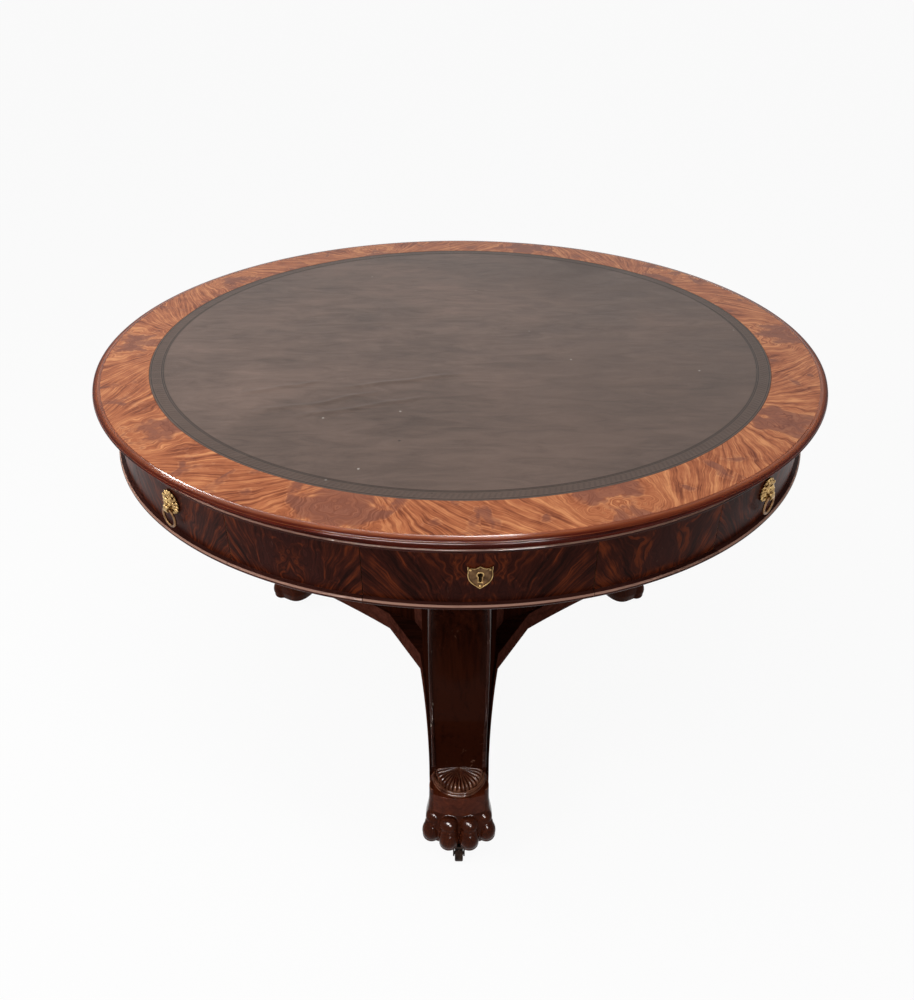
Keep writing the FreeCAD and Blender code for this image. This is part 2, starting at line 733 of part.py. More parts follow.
def make_ankle():
    """The bowed block between the paw and the end of an arm."""
    half = ARM_END_HALF_WIDTH - ANKLE_INSET
    bow = ARM_END + ANKLE_DEPTH
    corner = bow - ANKLE_BOW
    low = PAW_TOP - NECK_DEPTH
    plan = face_of([
        line(point(ARM_END, half, low), point(ARM_END, -half, low)),
        line(point(ARM_END, -half, low), point(corner, -half, low)),
        arc(point(corner, -half, low), point(bow, 0, low), point(corner, half, low)),
        line(point(corner, half, low), point(ARM_END, half, low)),
    ])
    heel = ARM_END + PAW_SET_FORWARD - PAW_LENGTH / 2 + SOLE_TUCK
    under_arm = block(heel, ARM_END, half, low, PLATFORM_UNDERSIDE)
    return plan.extrude(UP * (PLATFORM_TOP - low)).fuse(under_arm)


def make_foot():
    """An ankle block on a toed paw, bored below for its castor's socket."""
    first = (1 - TOE_COUNT) / 2
    toes = [make_toe(TOE_SPREAD * (first + place)) for place in range(TOE_COUNT)]
    foot = make_paw().fuse([make_ankle()] + toes)
    return foot.cut(disc(SOCKET_RADIUS, PLATE_TOP, PIN_TOP, CASTOR_RADIUS)).removeSplitter()


def make_shell():
    """The fluted half-round shell on the ankle, and the moulded rim round it."""
    top = PLATFORM_TOP + LEG_TOE_THICKNESS
    reach = 2 * SHELL_RADIUS
    front = block(ARM_END, ARM_END + reach, reach, PLATFORM_TOP, top)
    shave = block(0, reach, reach, 0, top)
    shave.rotate(ORIGIN, SIDEWAYS, math.degrees(math.atan2(SHELL_FALL, SHELL_RADIUS)))
    shave.translate(point(ARM_END, 0, top))
    shell = disc(SHELL_RADIUS, PLATFORM_TOP, top, ARM_END).common(front).cut(shave)
    for flute in range(SHELL_FLUTES):
        turn = math.radians((flute + 0.5) * 180 / SHELL_FLUTES - 90)
        along = point(math.cos(turn), math.sin(turn), -SHELL_FALL / SHELL_RADIUS * math.cos(turn))
        eye = point(ARM_END, 0, top) + along * SHELL_EYE
        shell = shell.cut(Part.makeCone(0, FLUTE_RADIUS, SHELL_RADIUS, eye, along))
    outside = SHELL_RADIUS + RIM_WIDTH
    rim = ring(SHELL_RADIUS, outside, PLATFORM_TOP, PLATFORM_TOP + RIM_HEIGHT, ARM_END)
    return [shell, rim.common(front)]


# Castors


def make_castor_plate():
    """A plate under the paw, with a socket for the swivel pin."""
    plate = disc(PLATE_RADIUS, HORN_TOP, PLATE_TOP, CASTOR_RADIUS)
    socket = disc(SOCKET_RADIUS, PLATE_TOP, PIN_TOP, CASTOR_RADIUS)
    return plate.fuse(socket).cut(disc(SOCKET_BORE, HORN_TOP, PIN_TOP, CASTOR_RADIUS))


def make_castor_horn():
    """A fork with its swivel pin and axle."""
    horn = disc(HORN_RADIUS, HORN_LOW, HORN_TOP, CASTOR_RADIUS)
    pin = disc(SWIVEL_PIN_RADIUS, HORN_TOP, PIN_TOP, CASTOR_RADIUS)
    corner = point(AXLE_PLACE - FORK_WIDTH / 2, FORK_INSIDE, WHEEL_RADIUS)
    cheek = Part.makeBox(FORK_WIDTH, FORK_THICKNESS, HORN_TOP - WHEEL_RADIUS, corner)
    eye_start = point(AXLE_PLACE, FORK_INSIDE, WHEEL_RADIUS)
    eye = Part.makeCylinder(FORK_WIDTH / 2, FORK_THICKNESS, eye_start, SIDEWAYS)
    cheek = cheek.fuse(eye)
    axle = across(AXLE_RADIUS, 2 * FORK_OUTSIDE, AXLE_PLACE, WHEEL_RADIUS)
    return horn.fuse([pin, cheek, cheek.mirror(ORIGIN, SIDEWAYS), axle]).removeSplitter()


def make_castor_wheel():
    """A small brass wheel with rounded edges."""
    wheel = across(WHEEL_RADIUS, WHEEL_WIDTH, AXLE_PLACE, WHEEL_RADIUS)
    rims = [edge for edge in wheel.Edges if edge.isClosed()]
    wheel = wheel.makeFillet(WHEEL_ROUND, rims)
    return wheel.cut(across(AXLE_RADIUS + RUNNING_CLEARANCE, WHEEL_WIDTH, AXLE_PLACE, WHEEL_RADIUS))


def build_drum():
    """The top, the frieze and the carcase, which turn together."""
    gaps = drawer_gaps()
    save(make_top_board(), "top_board")
    save(make_edge_moulding(), "edge_moulding")
    save_group(make_crossbanding(), "crossbanding")
    save(make_leather(), "leather_top")
    save(make_upper_bead(), "upper_bead")
    save_group(make_frieze_panels(gaps), "frieze_panels")
    save_group(make_lower_bead(gaps), "lower_bead")
    save(make_drum_floor(), "drum_floor")
    save(make_drum_pillar(), "drum_pillar")
    save(make_pivot_bush(), "pivot_bush")
    save_group(make_carcase_ribs(), "carcase_ribs")
    save_group(make_guides(), "drawer_guides")


def build_drawers():
    """Four lock drawers and four ring drawers, in turn round the drum."""
    lock_front = make_lock_front()
    lock_box = make_box(LOCK_BOX_HALF, LOCK_BOX_BACK)
    lock = make_lock()
    for name, angle in zip(LOCK_NAMES, drawer_angles(0)):
        save_group([turned(piece, angle) for piece in lock_front], "drawer_front_" + name)
        save_group([turned(piece, angle) for piece in lock_box], "drawer_box_" + name)
        save_group([turned(piece, angle) for piece in lock], "lock_" + name)
    ring_front = make_front(RING_HALF)
    ring_box = make_box(RING_BOX_HALF, RING_BOX_BACK)
    mask = make_mask()
    pull = make_pull_ring()
    for name, angle in zip(RING_NAMES, drawer_angles(1)):
        save_group([turned(piece, angle) for piece in ring_front], "drawer_front_" + name)
        save_group([turned(piece, angle) for piece in ring_box], "drawer_box_" + name)
        save(turned(mask, angle), "lion_mask_" + name)
        save(turned(pull, angle), "pull_ring_" + name)


def build_base():
    """The platform, the legs and their feet, and what the drum turns on."""
    save(make_platform(), "platform")
    save(make_core(), "pedestal_core")
    save(make_bearer(), "bearer")
    save(make_spindle(), "pivot_spindle")
    save(make_turntable(), "turntable_ring")
    leg = make_leg()
    foot = make_foot()
    for name, angle in zip(LEG_NAMES, LEG_ANGLES):
        save(turned(leg, angle), "leg_" + name)
        save(turned(foot, angle), "foot_" + name)
    beads = make_leg_beads()
    shell = make_shell()
    plate = make_castor_plate()
    save_group([turned(piece, angle) for angle in LEG_ANGLES for piece in beads], "leg_beads")
    save_group([turned(piece, angle) for angle in LEG_ANGLES for piece in shell], "foot_shells")
    save_group([turned(plate, angle) for angle in LEG_ANGLES], "castor_plates")


def build_castors():
    """A swivelling horn and a wheel under each foot."""
    horn = make_castor_horn()
    wheel = make_castor_wheel()
    for name, angle in zip(LEG_NAMES, LEG_ANGLES):
        save(turned(horn, angle), "castor_horn_" + name)
        save(turned(wheel, angle), "castor_wheel_" + name)


def main():
    """Builds every piece."""
    os.makedirs("parts", exist_ok=True)
    build_drum()
    build_drawers()
    build_base()
    build_castors()


main()
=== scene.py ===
import json
import logging
import math
from dataclasses import dataclass, field
from enum import Enum
from typing import Callable, Sequence, Union

import bmesh
import bpy
from mathutils import Matrix, Vector, noise

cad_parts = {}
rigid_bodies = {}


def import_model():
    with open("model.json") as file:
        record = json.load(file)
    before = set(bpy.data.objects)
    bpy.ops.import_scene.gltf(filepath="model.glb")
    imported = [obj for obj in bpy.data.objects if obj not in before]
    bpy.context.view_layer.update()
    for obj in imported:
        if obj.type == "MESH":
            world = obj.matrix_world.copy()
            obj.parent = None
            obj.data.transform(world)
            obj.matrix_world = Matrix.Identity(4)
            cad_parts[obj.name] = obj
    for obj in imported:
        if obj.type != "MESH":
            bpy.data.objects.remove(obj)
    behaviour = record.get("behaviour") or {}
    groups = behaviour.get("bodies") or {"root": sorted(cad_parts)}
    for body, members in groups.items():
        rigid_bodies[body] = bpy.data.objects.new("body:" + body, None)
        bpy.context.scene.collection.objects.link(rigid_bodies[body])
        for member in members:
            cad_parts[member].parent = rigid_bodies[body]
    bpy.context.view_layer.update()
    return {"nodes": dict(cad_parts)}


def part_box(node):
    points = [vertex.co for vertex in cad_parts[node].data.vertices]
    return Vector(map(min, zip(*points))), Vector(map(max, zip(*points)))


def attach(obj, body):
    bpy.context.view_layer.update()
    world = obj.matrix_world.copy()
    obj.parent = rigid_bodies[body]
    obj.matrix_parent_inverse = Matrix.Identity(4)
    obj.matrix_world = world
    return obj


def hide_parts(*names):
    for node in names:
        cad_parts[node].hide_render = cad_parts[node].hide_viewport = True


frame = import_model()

log = logging.getLogger("drum_table")

Colour = tuple[float, float, float]
Profile = list[tuple[float, float]]
Face = bpy.types.MeshPolygon
Material = bpy.types.Material
Mesh = bpy.types.Mesh
Socket = bpy.types.NodeSocket
Value = Union[float, Socket]

WELD = 1e-6
SHARP = 50.0
DRUM_TURN = math.radians(2.4)
FRIEZE_RADIUS = 0.565
ARM_END = 0.418
UPWARD = Vector((0.0, 0.0, 1.0))
SIDEWAYS = Vector((0.0, 1.0, 0.0))
LEG_ANGLES = {"front": math.radians(-90), "right": math.radians(30), "left": math.radians(150)}


class DrawerKind(Enum):
    """What a drawer front carries."""

    LOCK = "lock"
    RING = "ring"


class Wood(Enum):
    """Which way the grain runs, as how fine it is along x, y and z."""

    UPRIGHT = (95.0, 95.0, 6.0)
    FLAT = (9.0, 90.0, 90.0)


class Fusion(Enum):
    """How one closed form works on another."""

    CUT = "DIFFERENCE"
    FUSE = "UNION"


# Small geometry helpers


def polar(radius: float, angle: float, z: float) -> Vector:
    """A point given by its distance and direction from the table's middle."""
    return Vector((radius * math.cos(angle), radius * math.sin(angle), z))


def spread(first: float, last: float, steps: int) -> list[float]:
    """Evenly spaced values, one more than there are steps."""
    return [first + (last - first) * step / steps for step in range(steps + 1)]


def around(sides: int) -> list[float]:
    """Evenly spaced directions all round."""
    return spread(0.0, 2 * math.pi, sides)[:-1]


def oval(middle: tuple[float, float], radii: tuple[float, float], first: float, last: float,
         steps: int) -> Profile:
    """Points on an oval arc between two angles in degrees."""
    turns = [math.radians(a) for a in spread(first, last, steps)]
    return [(middle[0] + radii[0] * math.cos(a), middle[1] + radii[1] * math.sin(a)) for a in turns]


def bezier(points: Sequence[tuple[float, float]], steps: int) -> Profile:
    """Points along a curve with four control points.

    Args:
        points: The four control points.
        steps: How many straight pieces the curve has.

    Returns:
        The points in order.
    """
    found = []
    for t in spread(0.0, 1.0, steps):
        s = 1.0 - t
        shares = (s * s * s, 3 * s * s * t, 3 * s * t * t, t * t * t)
        found.append(tuple(sum(w * p[axis] for w, p in zip(shares, points)) for axis in (0, 1)))
    return found


def swell(value: float, low: float, high: float) -> float:
    """A smooth step from 0 below low to 1 above high."""
    t = min(1.0, max(0.0, (value - low) / (high - low)))
    return t * t * (3 - 2 * t)


@dataclass
class Draft:
    """A mesh in the making: its points, its faces and the finish number of each face."""

    points: list[Vector] = field(default_factory=list)
    faces: list[tuple[int, ...]] = field(default_factory=list)
    skins: list[int] = field(default_factory=list)

    def add_points(self, points: Sequence[Vector]) -> list[int]:
        """Adds points.

        Args:
            points: The points.

        Returns:
            Their numbers.
        """
        first = len(self.points)
        self.points.extend(points)
        return list(range(first, len(self.points)))

    def add_face(self, corners: Sequence[int], skin: int = 0) -> None:
        """Adds one face."""
        self.faces.append(tuple(corners))
        self.skins.append(skin)

    def add_rows(self, rows: Sequence[Sequence[Vector]], skin: int = 0, loop: bool = False,
                 cycle: bool = False) -> list[list[int]]:
        """Joins rows of points into a sheet of four-sided faces.

        Args:
            rows: The rows, all with as many points.
            skin: The finish number of the faces.
            loop: Whether each row closes on itself.
            cycle: Whether the last row joins the first.

        Returns:
            The numbers of the points, row by row.
        """
        grid = [self.add_points(row) for row in rows]
        pairs = list(zip(grid, grid[1:]))
        if cycle:
            pairs.append((grid[-1], grid[0]))
        for near, far in pairs:
            count = len(near)
            for i in range(count if loop else count - 1):
                j = (i + 1) % count
                self.add_face((near[i], near[j], far[j], far[i]), skin)
        return grid

    def add_tube(self, rows: Sequence[Sequence[Vector]], skin: int = 0) -> None:
        """Joins closed rows into a solid with flat ends.

        Args:
            rows: Closed rows of points.
            skin: The finish number of the faces.
        """
        grid = self.add_rows(rows, skin, loop=True)
        self.add_face(grid[0][::-1], skin)
        self.add_face(grid[-1], skin)

    def add_ring(self, profile: Profile, sides: int = 360) -> None:
        """Turns a closed section of radii and heights round the table's middle."""
        rows = [[polar(r, a, z) for r, z in profile] for a in around(sides)]
        self.add_rows(rows, loop=True, cycle=True)

    def add_ball(self, middle: Sequence[float], radii: Sequence[float], turn: Matrix = Matrix(),
                 skin: int = 0) -> None:
        """Adds an oval ball.

        Args:
            middle: Its middle.
            radii: Its three half sizes before it is turned.
            turn: How it is turned about its middle.
            skin: The finish number of its faces.
        """
        rows = []
        for rise in spread(0.12, math.pi - 0.12, 14):
            row = []
            for angle in around(20):
                at = Vector(a * r for a, r in zip(polar(math.sin(rise), angle, math.cos(rise)), radii))
                row.append(turn @ at + Vector(middle))
            rows.append(row)
        self.add_tube(rows, skin)

    def add_rod(self, start: Vector, along: Vector, radius: float, sides: int) -> None:
        """Adds a round rod.

        Args:
            start: The middle of one end.
            along: Its direction and length.
            radius: Its radius.
            sides: How many sides it has.
        """
        ahead, askew = along.normalized(), Vector((0.31, 0.17, 0.93))
        side = ahead.cross(askew).normalized()
        up = side.cross(ahead)
        self.add_tube([[at + radius * (side * math.cos(a) + up * math.sin(a)) for a in around(sides)]
                       for at in (start, start + along)])


def make_mesh(name: str, draft: Draft, ease: float = 0.0, sharp: float = SHARP) -> Mesh:
    """Turns a draft into a mesh with even outward faces.

    Args:
        name: The mesh's name.
        draft: The points and faces.
        ease: How far the sharp edges are rounded, in metres.
        sharp: The angle above which an edge counts as sharp, in degrees.

    Returns:
        The mesh.
    """
    mesh = bpy.data.meshes.new(name)
    mesh.from_pydata([tuple(p) for p in draft.points], [], draft.faces)
    mesh.polygons.foreach_set("material_index", draft.skins)
    work = bmesh.new()
    work.from_mesh(mesh)
    bmesh.ops.remove_doubles(work, verts=work.verts, dist=WELD)
    bmesh.ops.recalc_face_normals(work, faces=work.faces)
    if ease:
        edges = [e for e in work.edges if e.is_manifold and e.calc_face_angle(0) > math.radians(sharp)]
        bmesh.ops.bevel(work, geom=edges, offset=ease, segments=2, profile=0.5, affect="EDGES",
                        clamp_overlap=True)
    work.to_mesh(mesh)
    work.free()
    mesh.shade_smooth()
    mesh.set_sharp_from_angle(angle=math.radians(sharp))
    return mesh


def placed(name: str, data: bpy.types.ID) -> bpy.types.Object:
    """Makes an object and links it to the scene.

    Args:
        name: Its name.
        data: Its mesh, lamp or camera.

    Returns:
        The object.
    """
    made = bpy.data.objects.new(name, data)
    bpy.context.scene.collection.objects.link(made)
    return made


def worked(mesh: Mesh, fit: Callable[[bpy.types.Object], None]) -> Mesh:
    """Runs modifiers over a mesh.

    Args:
        mesh: The mesh before.
        fit: Adds the modifiers to a passing object that holds the mesh.

    Returns:
        A new mesh with the modifiers applied.
    """
    passing = placed("passing", mesh)
    fit(passing)
    graph = bpy.context.evaluated_depsgraph_get()
    made = bpy.data.meshes.new_from_object(passing.evaluated_get(graph))
    made.name = mesh.name
    bpy.data.objects.remove(passing)
    return made


def melted(mesh: Mesh, grain: float, passes: int) -> Mesh:
    """Joins overlapping forms into one smooth carved skin.

    Args:
        mesh: The overlapping closed forms.
        grain: The size of the new faces, in metres.
        passes: How often the skin is smoothed.

    Returns:
        The carved mesh.
    """
    def fit(passing: bpy.types.Object) -> None:
        """Adds the remesh and the smoothing.

        Args:
            passing: The object that holds the mesh.
        """
        melt = passing.modifiers.new("melt", "REMESH")
        melt.mode = "VOXEL"
        melt.voxel_size = grain
        rub = passing.modifiers.new("rub", "SMOOTH")
        rub.factor = 0.5
        rub.iterations = passes

    made = worked(mesh, fit)
    made.shade_smooth()
    return made


def combined(mesh: Mesh, other: Mesh, how: Fusion) -> Mesh:
    """Cuts one closed form out of another, or fuses the two.

    Args:
        mesh: The form that is worked on.
        other: The form that is taken away or added.
        how: Which of the two is done.

    Returns:
        The new mesh.
    """
    tool = placed("tool", other)

    def fit(passing: bpy.types.Object) -> None:
        """Adds the cut or the fusion.

        Args:
            passing: The object that holds the mesh.
        """
        step = passing.modifiers.new("step", "BOOLEAN")
        step.operation = how.value
        step.solver = "EXACT"
        step.object = tool

    made = worked(mesh, fit)
    bpy.data.objects.remove(tool)
    made.shade_smooth()
    made.set_sharp_from_angle(angle=math.radians(SHARP))
    return made


def joined(first: Mesh, second: Mesh) -> Mesh:
    """Puts two meshes into one.

    Args:
        first: The mesh that grows.
        second: The mesh that is added.

    Returns:
        The first mesh with both.
    """
    work = bmesh.new()
    work.from_mesh(first)
    work.from_mesh(second)
    work.to_mesh(first)
    work.free()
    bpy.data.meshes.remove(second)
    return first


def round_bar(start: Vector, along: Vector, radius: float, sides: int = 64) -> Mesh:
    """A plain round bar to cut with.

    Args:
        start: The middle of one end.
        along: Its direction and length.
        radius: Its radius.
        sides: How many sides it has.

    Returns:
        The closed mesh.
    """
    draft = Draft()
    draft.add_rod(start, along, radius, sides)
    return make_mesh("cutter", draft)


def reach_to(outline: Profile, centre: Vector, ray: Vector) -> float:
    """How far a ray from the middle runs to a closed outline.

    Args:
        outline: The closed outline.
        centre: A point inside it.
        ray: The ray's direction.

    Returns:
        The distance.
    """
    best = 0.0
    for i, corner in enumerate(outline):
        a = Vector(corner) - centre
        edge = Vector(outline[(i + 1) % len(outline)]) - centre - a
        turn = ray.cross(edge)
        if abs(turn) < 1e-15:
            continue
        distance, share = a.cross(edge) / turn, a.cross(ray) / turn
        if distance > 0 and -1e-9 <= share <= 1 + 1e-9:
            best = max(best, distance)
    return best


def mark(mesh: Mesh, rule: Callable[[Vector], Vector]) -> None:
    """Notes at each point of a veneer where it lies on its leaf.

    Args:
        mesh: The mesh.
        rule: Gives across, along and the leaf's number for a point.
    """
    note = mesh.attributes.new("leaf", "FLOAT_VECTOR", "POINT")
    for vertex, row in zip(mesh.vertices, note.data):
        row.vector = rule(vertex.co)


def paint(mesh: Mesh, rule: Callable[[Face], int]) -> None:
    """Chooses the finish number of every face by a rule."""
    for face in mesh.polygons:
        face.material_index = rule(face)


def set_out(name: str, mesh: Mesh, finishes: Sequence[Material], body: str,
            nodes: Sequence[str] = (), angle: float = 0.0) -> bpy.types.Object:
    """Puts a finished piece on its body.

    Args:
        name: The piece's name.
        mesh: Its mesh.
        finishes: Its materials in the order of the finish numbers.
        body: The body that it rides on.
        nodes: The construction nodes that it stands for.
        angle: How far it is turned about the table's middle.

    Returns:
        The piece.
    """
    if not mesh.materials:
        for finish in finishes:
            mesh.materials.append(finish)
    piece = placed(name, mesh)
    piece.rotation_euler.z = angle
    even = piece.modifiers.new("even", "WEIGHTED_NORMAL")
    even.keep_sharp = True
    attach(piece, body)
    if nodes:
        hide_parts(*nodes)
    log.info("%s: %d faces on %s", name, len(mesh.polygons), body)
    return piece


def dress_node(node: str, finish: Material) -> None:
    """Gives a construction node its finish.

    Args:
        node: The node's name.
        finish: Its material.
    """
    materials = frame["nodes"][node].data.materials
    materials.clear()
    materials.append(finish)
    log.info("%s: finished with %s", node, finish.name)


# Finishes


class Brush:
    """Writes the nodes of a material or a world as short formulas."""

    def __init__(self, owner: Union[Material, bpy.types.World]) -> None:
        """Empties the nodes.

        Args:
            owner: The material or the world.
        """
        self.owner = owner
        owner.use_nodes = True
        self.nodes, self.links = owner.node_tree.nodes, owner.node_tree.links
        self.nodes.clear()

    def add(self, kind: str, **settings: object) -> bpy.types.Node:
        """Adds a node and sets it up.

        Args:
            kind: The node's type.
            settings: Its properties by name.

        Returns:
            The node.
        """
        node = self.nodes.new(kind)
        for key, value in settings.items():
            setattr(node, key, value)
        return node

    def feed(self, socket: Socket, value: object) -> None:
        """Links a socket to another, or sets its value.

        Args:
            socket: The socket that is fed.
            value: Another socket, a number or a colour.
        """
        if isinstance(value, Socket):
            self.links.new(value, socket)
        elif isinstance(value, tuple) and len(value) == 3 and socket.type == "RGBA":
            socket.default_value = (*value, 1.0)
        else:
            socket.default_value = value

    def math(self, operation: str, *values: Value) -> Socket:
        """One step of arithmetic.

        Args:
            operation: What is done.
            values: What it is done with.

        Returns:
            The outcome.
        """
        node = self.add("ShaderNodeMath", operation=operation)
        for socket, value in zip(node.inputs, values):
            self.feed(socket, value)
        return node.outputs[0]

    def times(self, first: Value, *others: Value) -> Value:
        """The product of some values.

        Args:
            first: The first value.
            others: What it is multiplied by, in order.

        Returns:
            The product.
        """
        for other in others:
            first = self.math("MULTIPLY", first, other)
        return first

    def lift(self, value: Value, slope: Value, base: Value) -> Socket:
        """A value times a slope, plus a base."""
        return self.math("MULTIPLY_ADD", value, slope, base)

    def split(self, vector: Socket) -> tuple[Socket, ...]:
        """Takes a vector apart.

        Args:
            vector: The vector.

        Returns:
            Its three parts.
        """
        node = self.add("ShaderNodeSeparateXYZ")
        self.feed(node.inputs[0], vector)
        return tuple(node.outputs)

    def place(self) -> tuple[Socket, ...]:
        """The point's place on its own piece, in metres."""
        return self.split(self.add("ShaderNodeTexCoord").outputs["Object"])

    def leaf(self) -> tuple[Socket, ...]:
        """The point's place on its veneer leaf."""
        return self.split(self.add("ShaderNodeAttribute", attribute_name="leaf").outputs["Vector"])

    def vector(self, *parts: Value) -> Socket:
        """Puts a vector together.

        Args:
            parts: Its three parts.

        Returns:
            The vector.
        """
        node = self.add("ShaderNodeCombineXYZ")
        for socket, value in zip(node.inputs, parts):
            self.feed(socket, value)
        return node.outputs[0]

    def reach(self, x: Value, y: Value) -> Socket:
        """The distance from the table's middle."""
        return self.math("SQRT", self.math("ADD", self.times(x, x), self.times(y, y)))

    def noise(self, parts: Sequence[Value], scales: Sequence[float], detail: float,
              roughness: float = 0.5, distortion: float = 0.0) -> Socket:
        """Cloudy noise from 0 to 1.

        Args:
            parts: The three parts of the place.
            scales: How fine the noise is along each of them.
            detail: How many finer clouds are added.
            roughness: How strong these are.
            distortion: How much the clouds are stirred.

        Returns:
            The noise.
        """
        node = self.add("ShaderNodeTexNoise")
        place = self.vector(*(self.times(part, scale) for part, scale in zip(parts, scales)))
        for key, value in (("Vector", place), ("Scale", 1.0), ("Detail", detail),
                           ("Roughness", roughness), ("Distortion", distortion)):
            self.feed(node.inputs[key], value)
        return node.outputs[0]

    def fade(self, value: Value, low: float, high: float) -> Socket:
        """A smooth step.

        Args:
            value: What is measured.
            low: Where the step is 0.
            high: Where the step is 1.

        Returns:
            A share from 0 to 1.
        """
        node = self.add("ShaderNodeMapRange", interpolation_type="SMOOTHSTEP")
        for socket, given in zip(node.inputs, (value, low, high)):
            self.feed(socket, given)
        return node.outputs[0]

    def ramp(self, value: Value, *stops: tuple[float, Colour]) -> Socket:
        """A colour chosen along a scale.

        Args:
            value: The place on the scale.
            stops: Each stop's place and colour.

        Returns:
            The colour.
        """
        node = self.add("ShaderNodeValToRGB")
        self.feed(node.inputs[0], value)
        elements = node.color_ramp.elements
        while len(elements) < len(stops):
            elements.new(0.5)
        for element, (place, colour) in zip(elements, stops):
            element.position = place
            element.color = (*colour, 1.0)
        return node.outputs[0]

    def blend(self, share: Value, first: object, second: object) -> Socket:
        """One colour laid over another.

        Args:
            share: How much of the second shows.
            first: The colour below.
            second: The colour above.

        Returns:
            The mixed colour.
        """
        node = self.add("ShaderNodeMix", data_type="RGBA")
        for index, value in ((0, share), (6, first), (7, second)):
            self.feed(node.inputs[index], value)
        return node.outputs[2]

    def bump(self, height: Value, depth: float, under: Socket = None) -> Socket:
        """A fine relief.

        Args:
            height: The relief from 0 to 1.
            depth: Its depth in metres.
            under: A coarser relief that it lies on.

        Returns:
            The surface direction.
        """
        node = self.add("ShaderNodeBump")
        self.feed(node.inputs["Height"], height)
        self.feed(node.inputs["Distance"], depth)
        if under:
            self.feed(node.inputs["Normal"], under)
        return node.outputs[0]

    def end(self, shader: bpy.types.Node, kind: str = "ShaderNodeOutputMaterial") -> None:
        """Links the last shader to the output."""
        self.links.new(shader.outputs[0], self.add(kind).inputs[0])

    def surface(self, **settings: object) -> Material:
        """Ends the material.

        Args:
            settings: The shader's sockets by name, with low lines for spaces.

        Returns:
            The material.
        """
        shader = self.add("ShaderNodeBsdfPrincipled")
        self.end(shader)
        for key, value in settings.items():
            name = key.replace("_", " ").title().replace("Ior", "IOR")
            self.feed(shader.inputs[name], value)
        return self.owner


@dataclass(frozen=True)
class FlameVeneer:
    """Crotch mahogany: plumes of grain that fan out from the joint of two matched leaves."""

    name: str
    dark: Colour
    middle: Colour
    light: Colour
    haze: Colour
    leaf_width: float
    lines: float
    scuffs: float
    specular: float
    haze_share: float = 0.75

    def mix(self) -> Material:
        """Mixes the finish.

        Returns:
            The material.
        """
        b = Brush(bpy.data.materials.new(self.name))
        across, along, leaf = b.leaf()
        chance = b.lift(b.add("ShaderNodeObjectInfo").outputs["Random"], 23.0, leaf)
        out = b.math("DIVIDE", b.math("ABSOLUTE", across), self.leaf_width)
        drift = b.math("SUBTRACT", b.noise((out, along, chance), (4.16, 1.76, 5.92), 2.0), 0.5)
        curl = b.fade(out, 0.46, 0.06)
        fan = b.math("DIVIDE", out, b.lift(along, 0.5, 0.62))
        line = b.math("ADD", fan, b.times(drift, b.lift(curl, 0.75, 0.14)))
        cloud = b.noise((out, along, chance), (3.6, 1.35, 7.95), 3.0, 0.55, 0.3)
        streak = b.noise((line, along, chance), (self.lines, 0.55, 1.0), 5.0, 0.7)
        fine = b.noise((line, along, chance), (self.lines * 3.6, 2.2, 2.0), 3.0, 0.6)
        near = b.lift(curl, 0.17, b.lift(streak, 0.14, cloud))
        edge = b.fade(b.math("ABSOLUTE", b.math("SUBTRACT", near, 0.69)), 0.045, 0.0)
        tone = b.lift(fine, 0.36, b.times(streak, 0.64))
        tone = b.lift(b.times(edge, fine), 0.14, tone)
        tone = b.math("ADD", tone, b.times(b.math("SUBTRACT", cloud, 0.5), -0.35))
        colour = b.ramp(tone, (0.37, self.dark), (0.5, self.middle), (0.64, self.light))
        share = b.times(b.fade(near, 0.64, 0.78), self.haze_share)
        misty = b.blend(b.fade(fine, 0.3, 0.7), self.dark, self.haze)
        colour = b.blend(share, colour, b.blend(0.55, misty, self.haze))
        pores = b.noise((line, along, chance), (self.lines * 12, 8.0, 3.0), 1.0)
        colour = b.blend(b.times(b.fade(pores, 0.6, 0.74), 0.35), colour, self.dark)
        x, y, z = b.place()
        scuff = b.noise((x, y, z), (170.0, 170.0, 60.0), 4.0, 0.7, 2.0)
        rubbed = b.times(b.fade(scuff, 0.66, 0.72), b.fade(cloud, 0.48, 0.6))
        colour = b.blend(b.times(rubbed, self.scuffs), colour, (0.62, 0.42, 0.3))
        waves = b.noise((x, y, z), (9.0, 9.0, 9.0), 1.0)
        normal = b.bump(tone, 0.00005, b.bump(waves, 0.0004))
        return b.surface(base_color=colour, roughness=0.36, normal=normal, specular_ior_level=self.specular)


@dataclass(frozen=True)
class RunningGrain:
    """Polished mahogany with its grain along a round moulding, and a painted light tone on the upward faces
    of its crown: painted shade on the edge moulding's shoulder, a painted highlight on the beads.
    """

    name: str
    dark: Colour
    light: Colour
    specular: float
    roughness: float
    # The painted light colour on the crown's upward faces: dark on the edge moulding, pale on the beads.
    crown: Colour = (0.0, 0.0, 0.0)
    painted_crown_radius: float = 0.0
    painted_crown_fade: float = 0.0005

    def mix(self) -> Material:
        """Mixes the finish.

        Returns:
            The material.
        """
        b = Brush(bpy.data.materials.new(self.name))
        x, y, z = b.place()
        radius = b.reach(x, y)
        girth = b.math("ADD", radius, z)
        grain = b.noise((x, y, girth), (14.0, 14.0, 420.0), 5.0, 0.65)
        patch = b.noise((x, y, z), (7.0, 7.0, 60.0), 2.0)
        tone = b.lift(patch, 0.6, b.times(grain, 0.5))
        colour = b.ramp(tone, (0.38, self.dark), (0.72, self.light))
        # Painted light: upward faces beyond a radius take the crown colour, as painted shade on the edge
        # moulding and as a painted highlight on the beads.
        if self.painted_crown_radius:
            lean = b.split(b.add("ShaderNodeNewGeometry").outputs["Normal"])[2]
            line = b.times(b.fade(lean, 0.3, 0.55),
                          b.fade(radius, self.painted_crown_radius, self.painted_crown_radius + self.painted_crown_fade))
            colour = b.blend(b.times(line, b.fade(tone, 0.3, 0.55)), colour, self.crown)
        return b.surface(base_color=colour, roughness=self.roughness, normal=b.bump(grain, 0.00003),
                         specular_ior_level=self.specular)


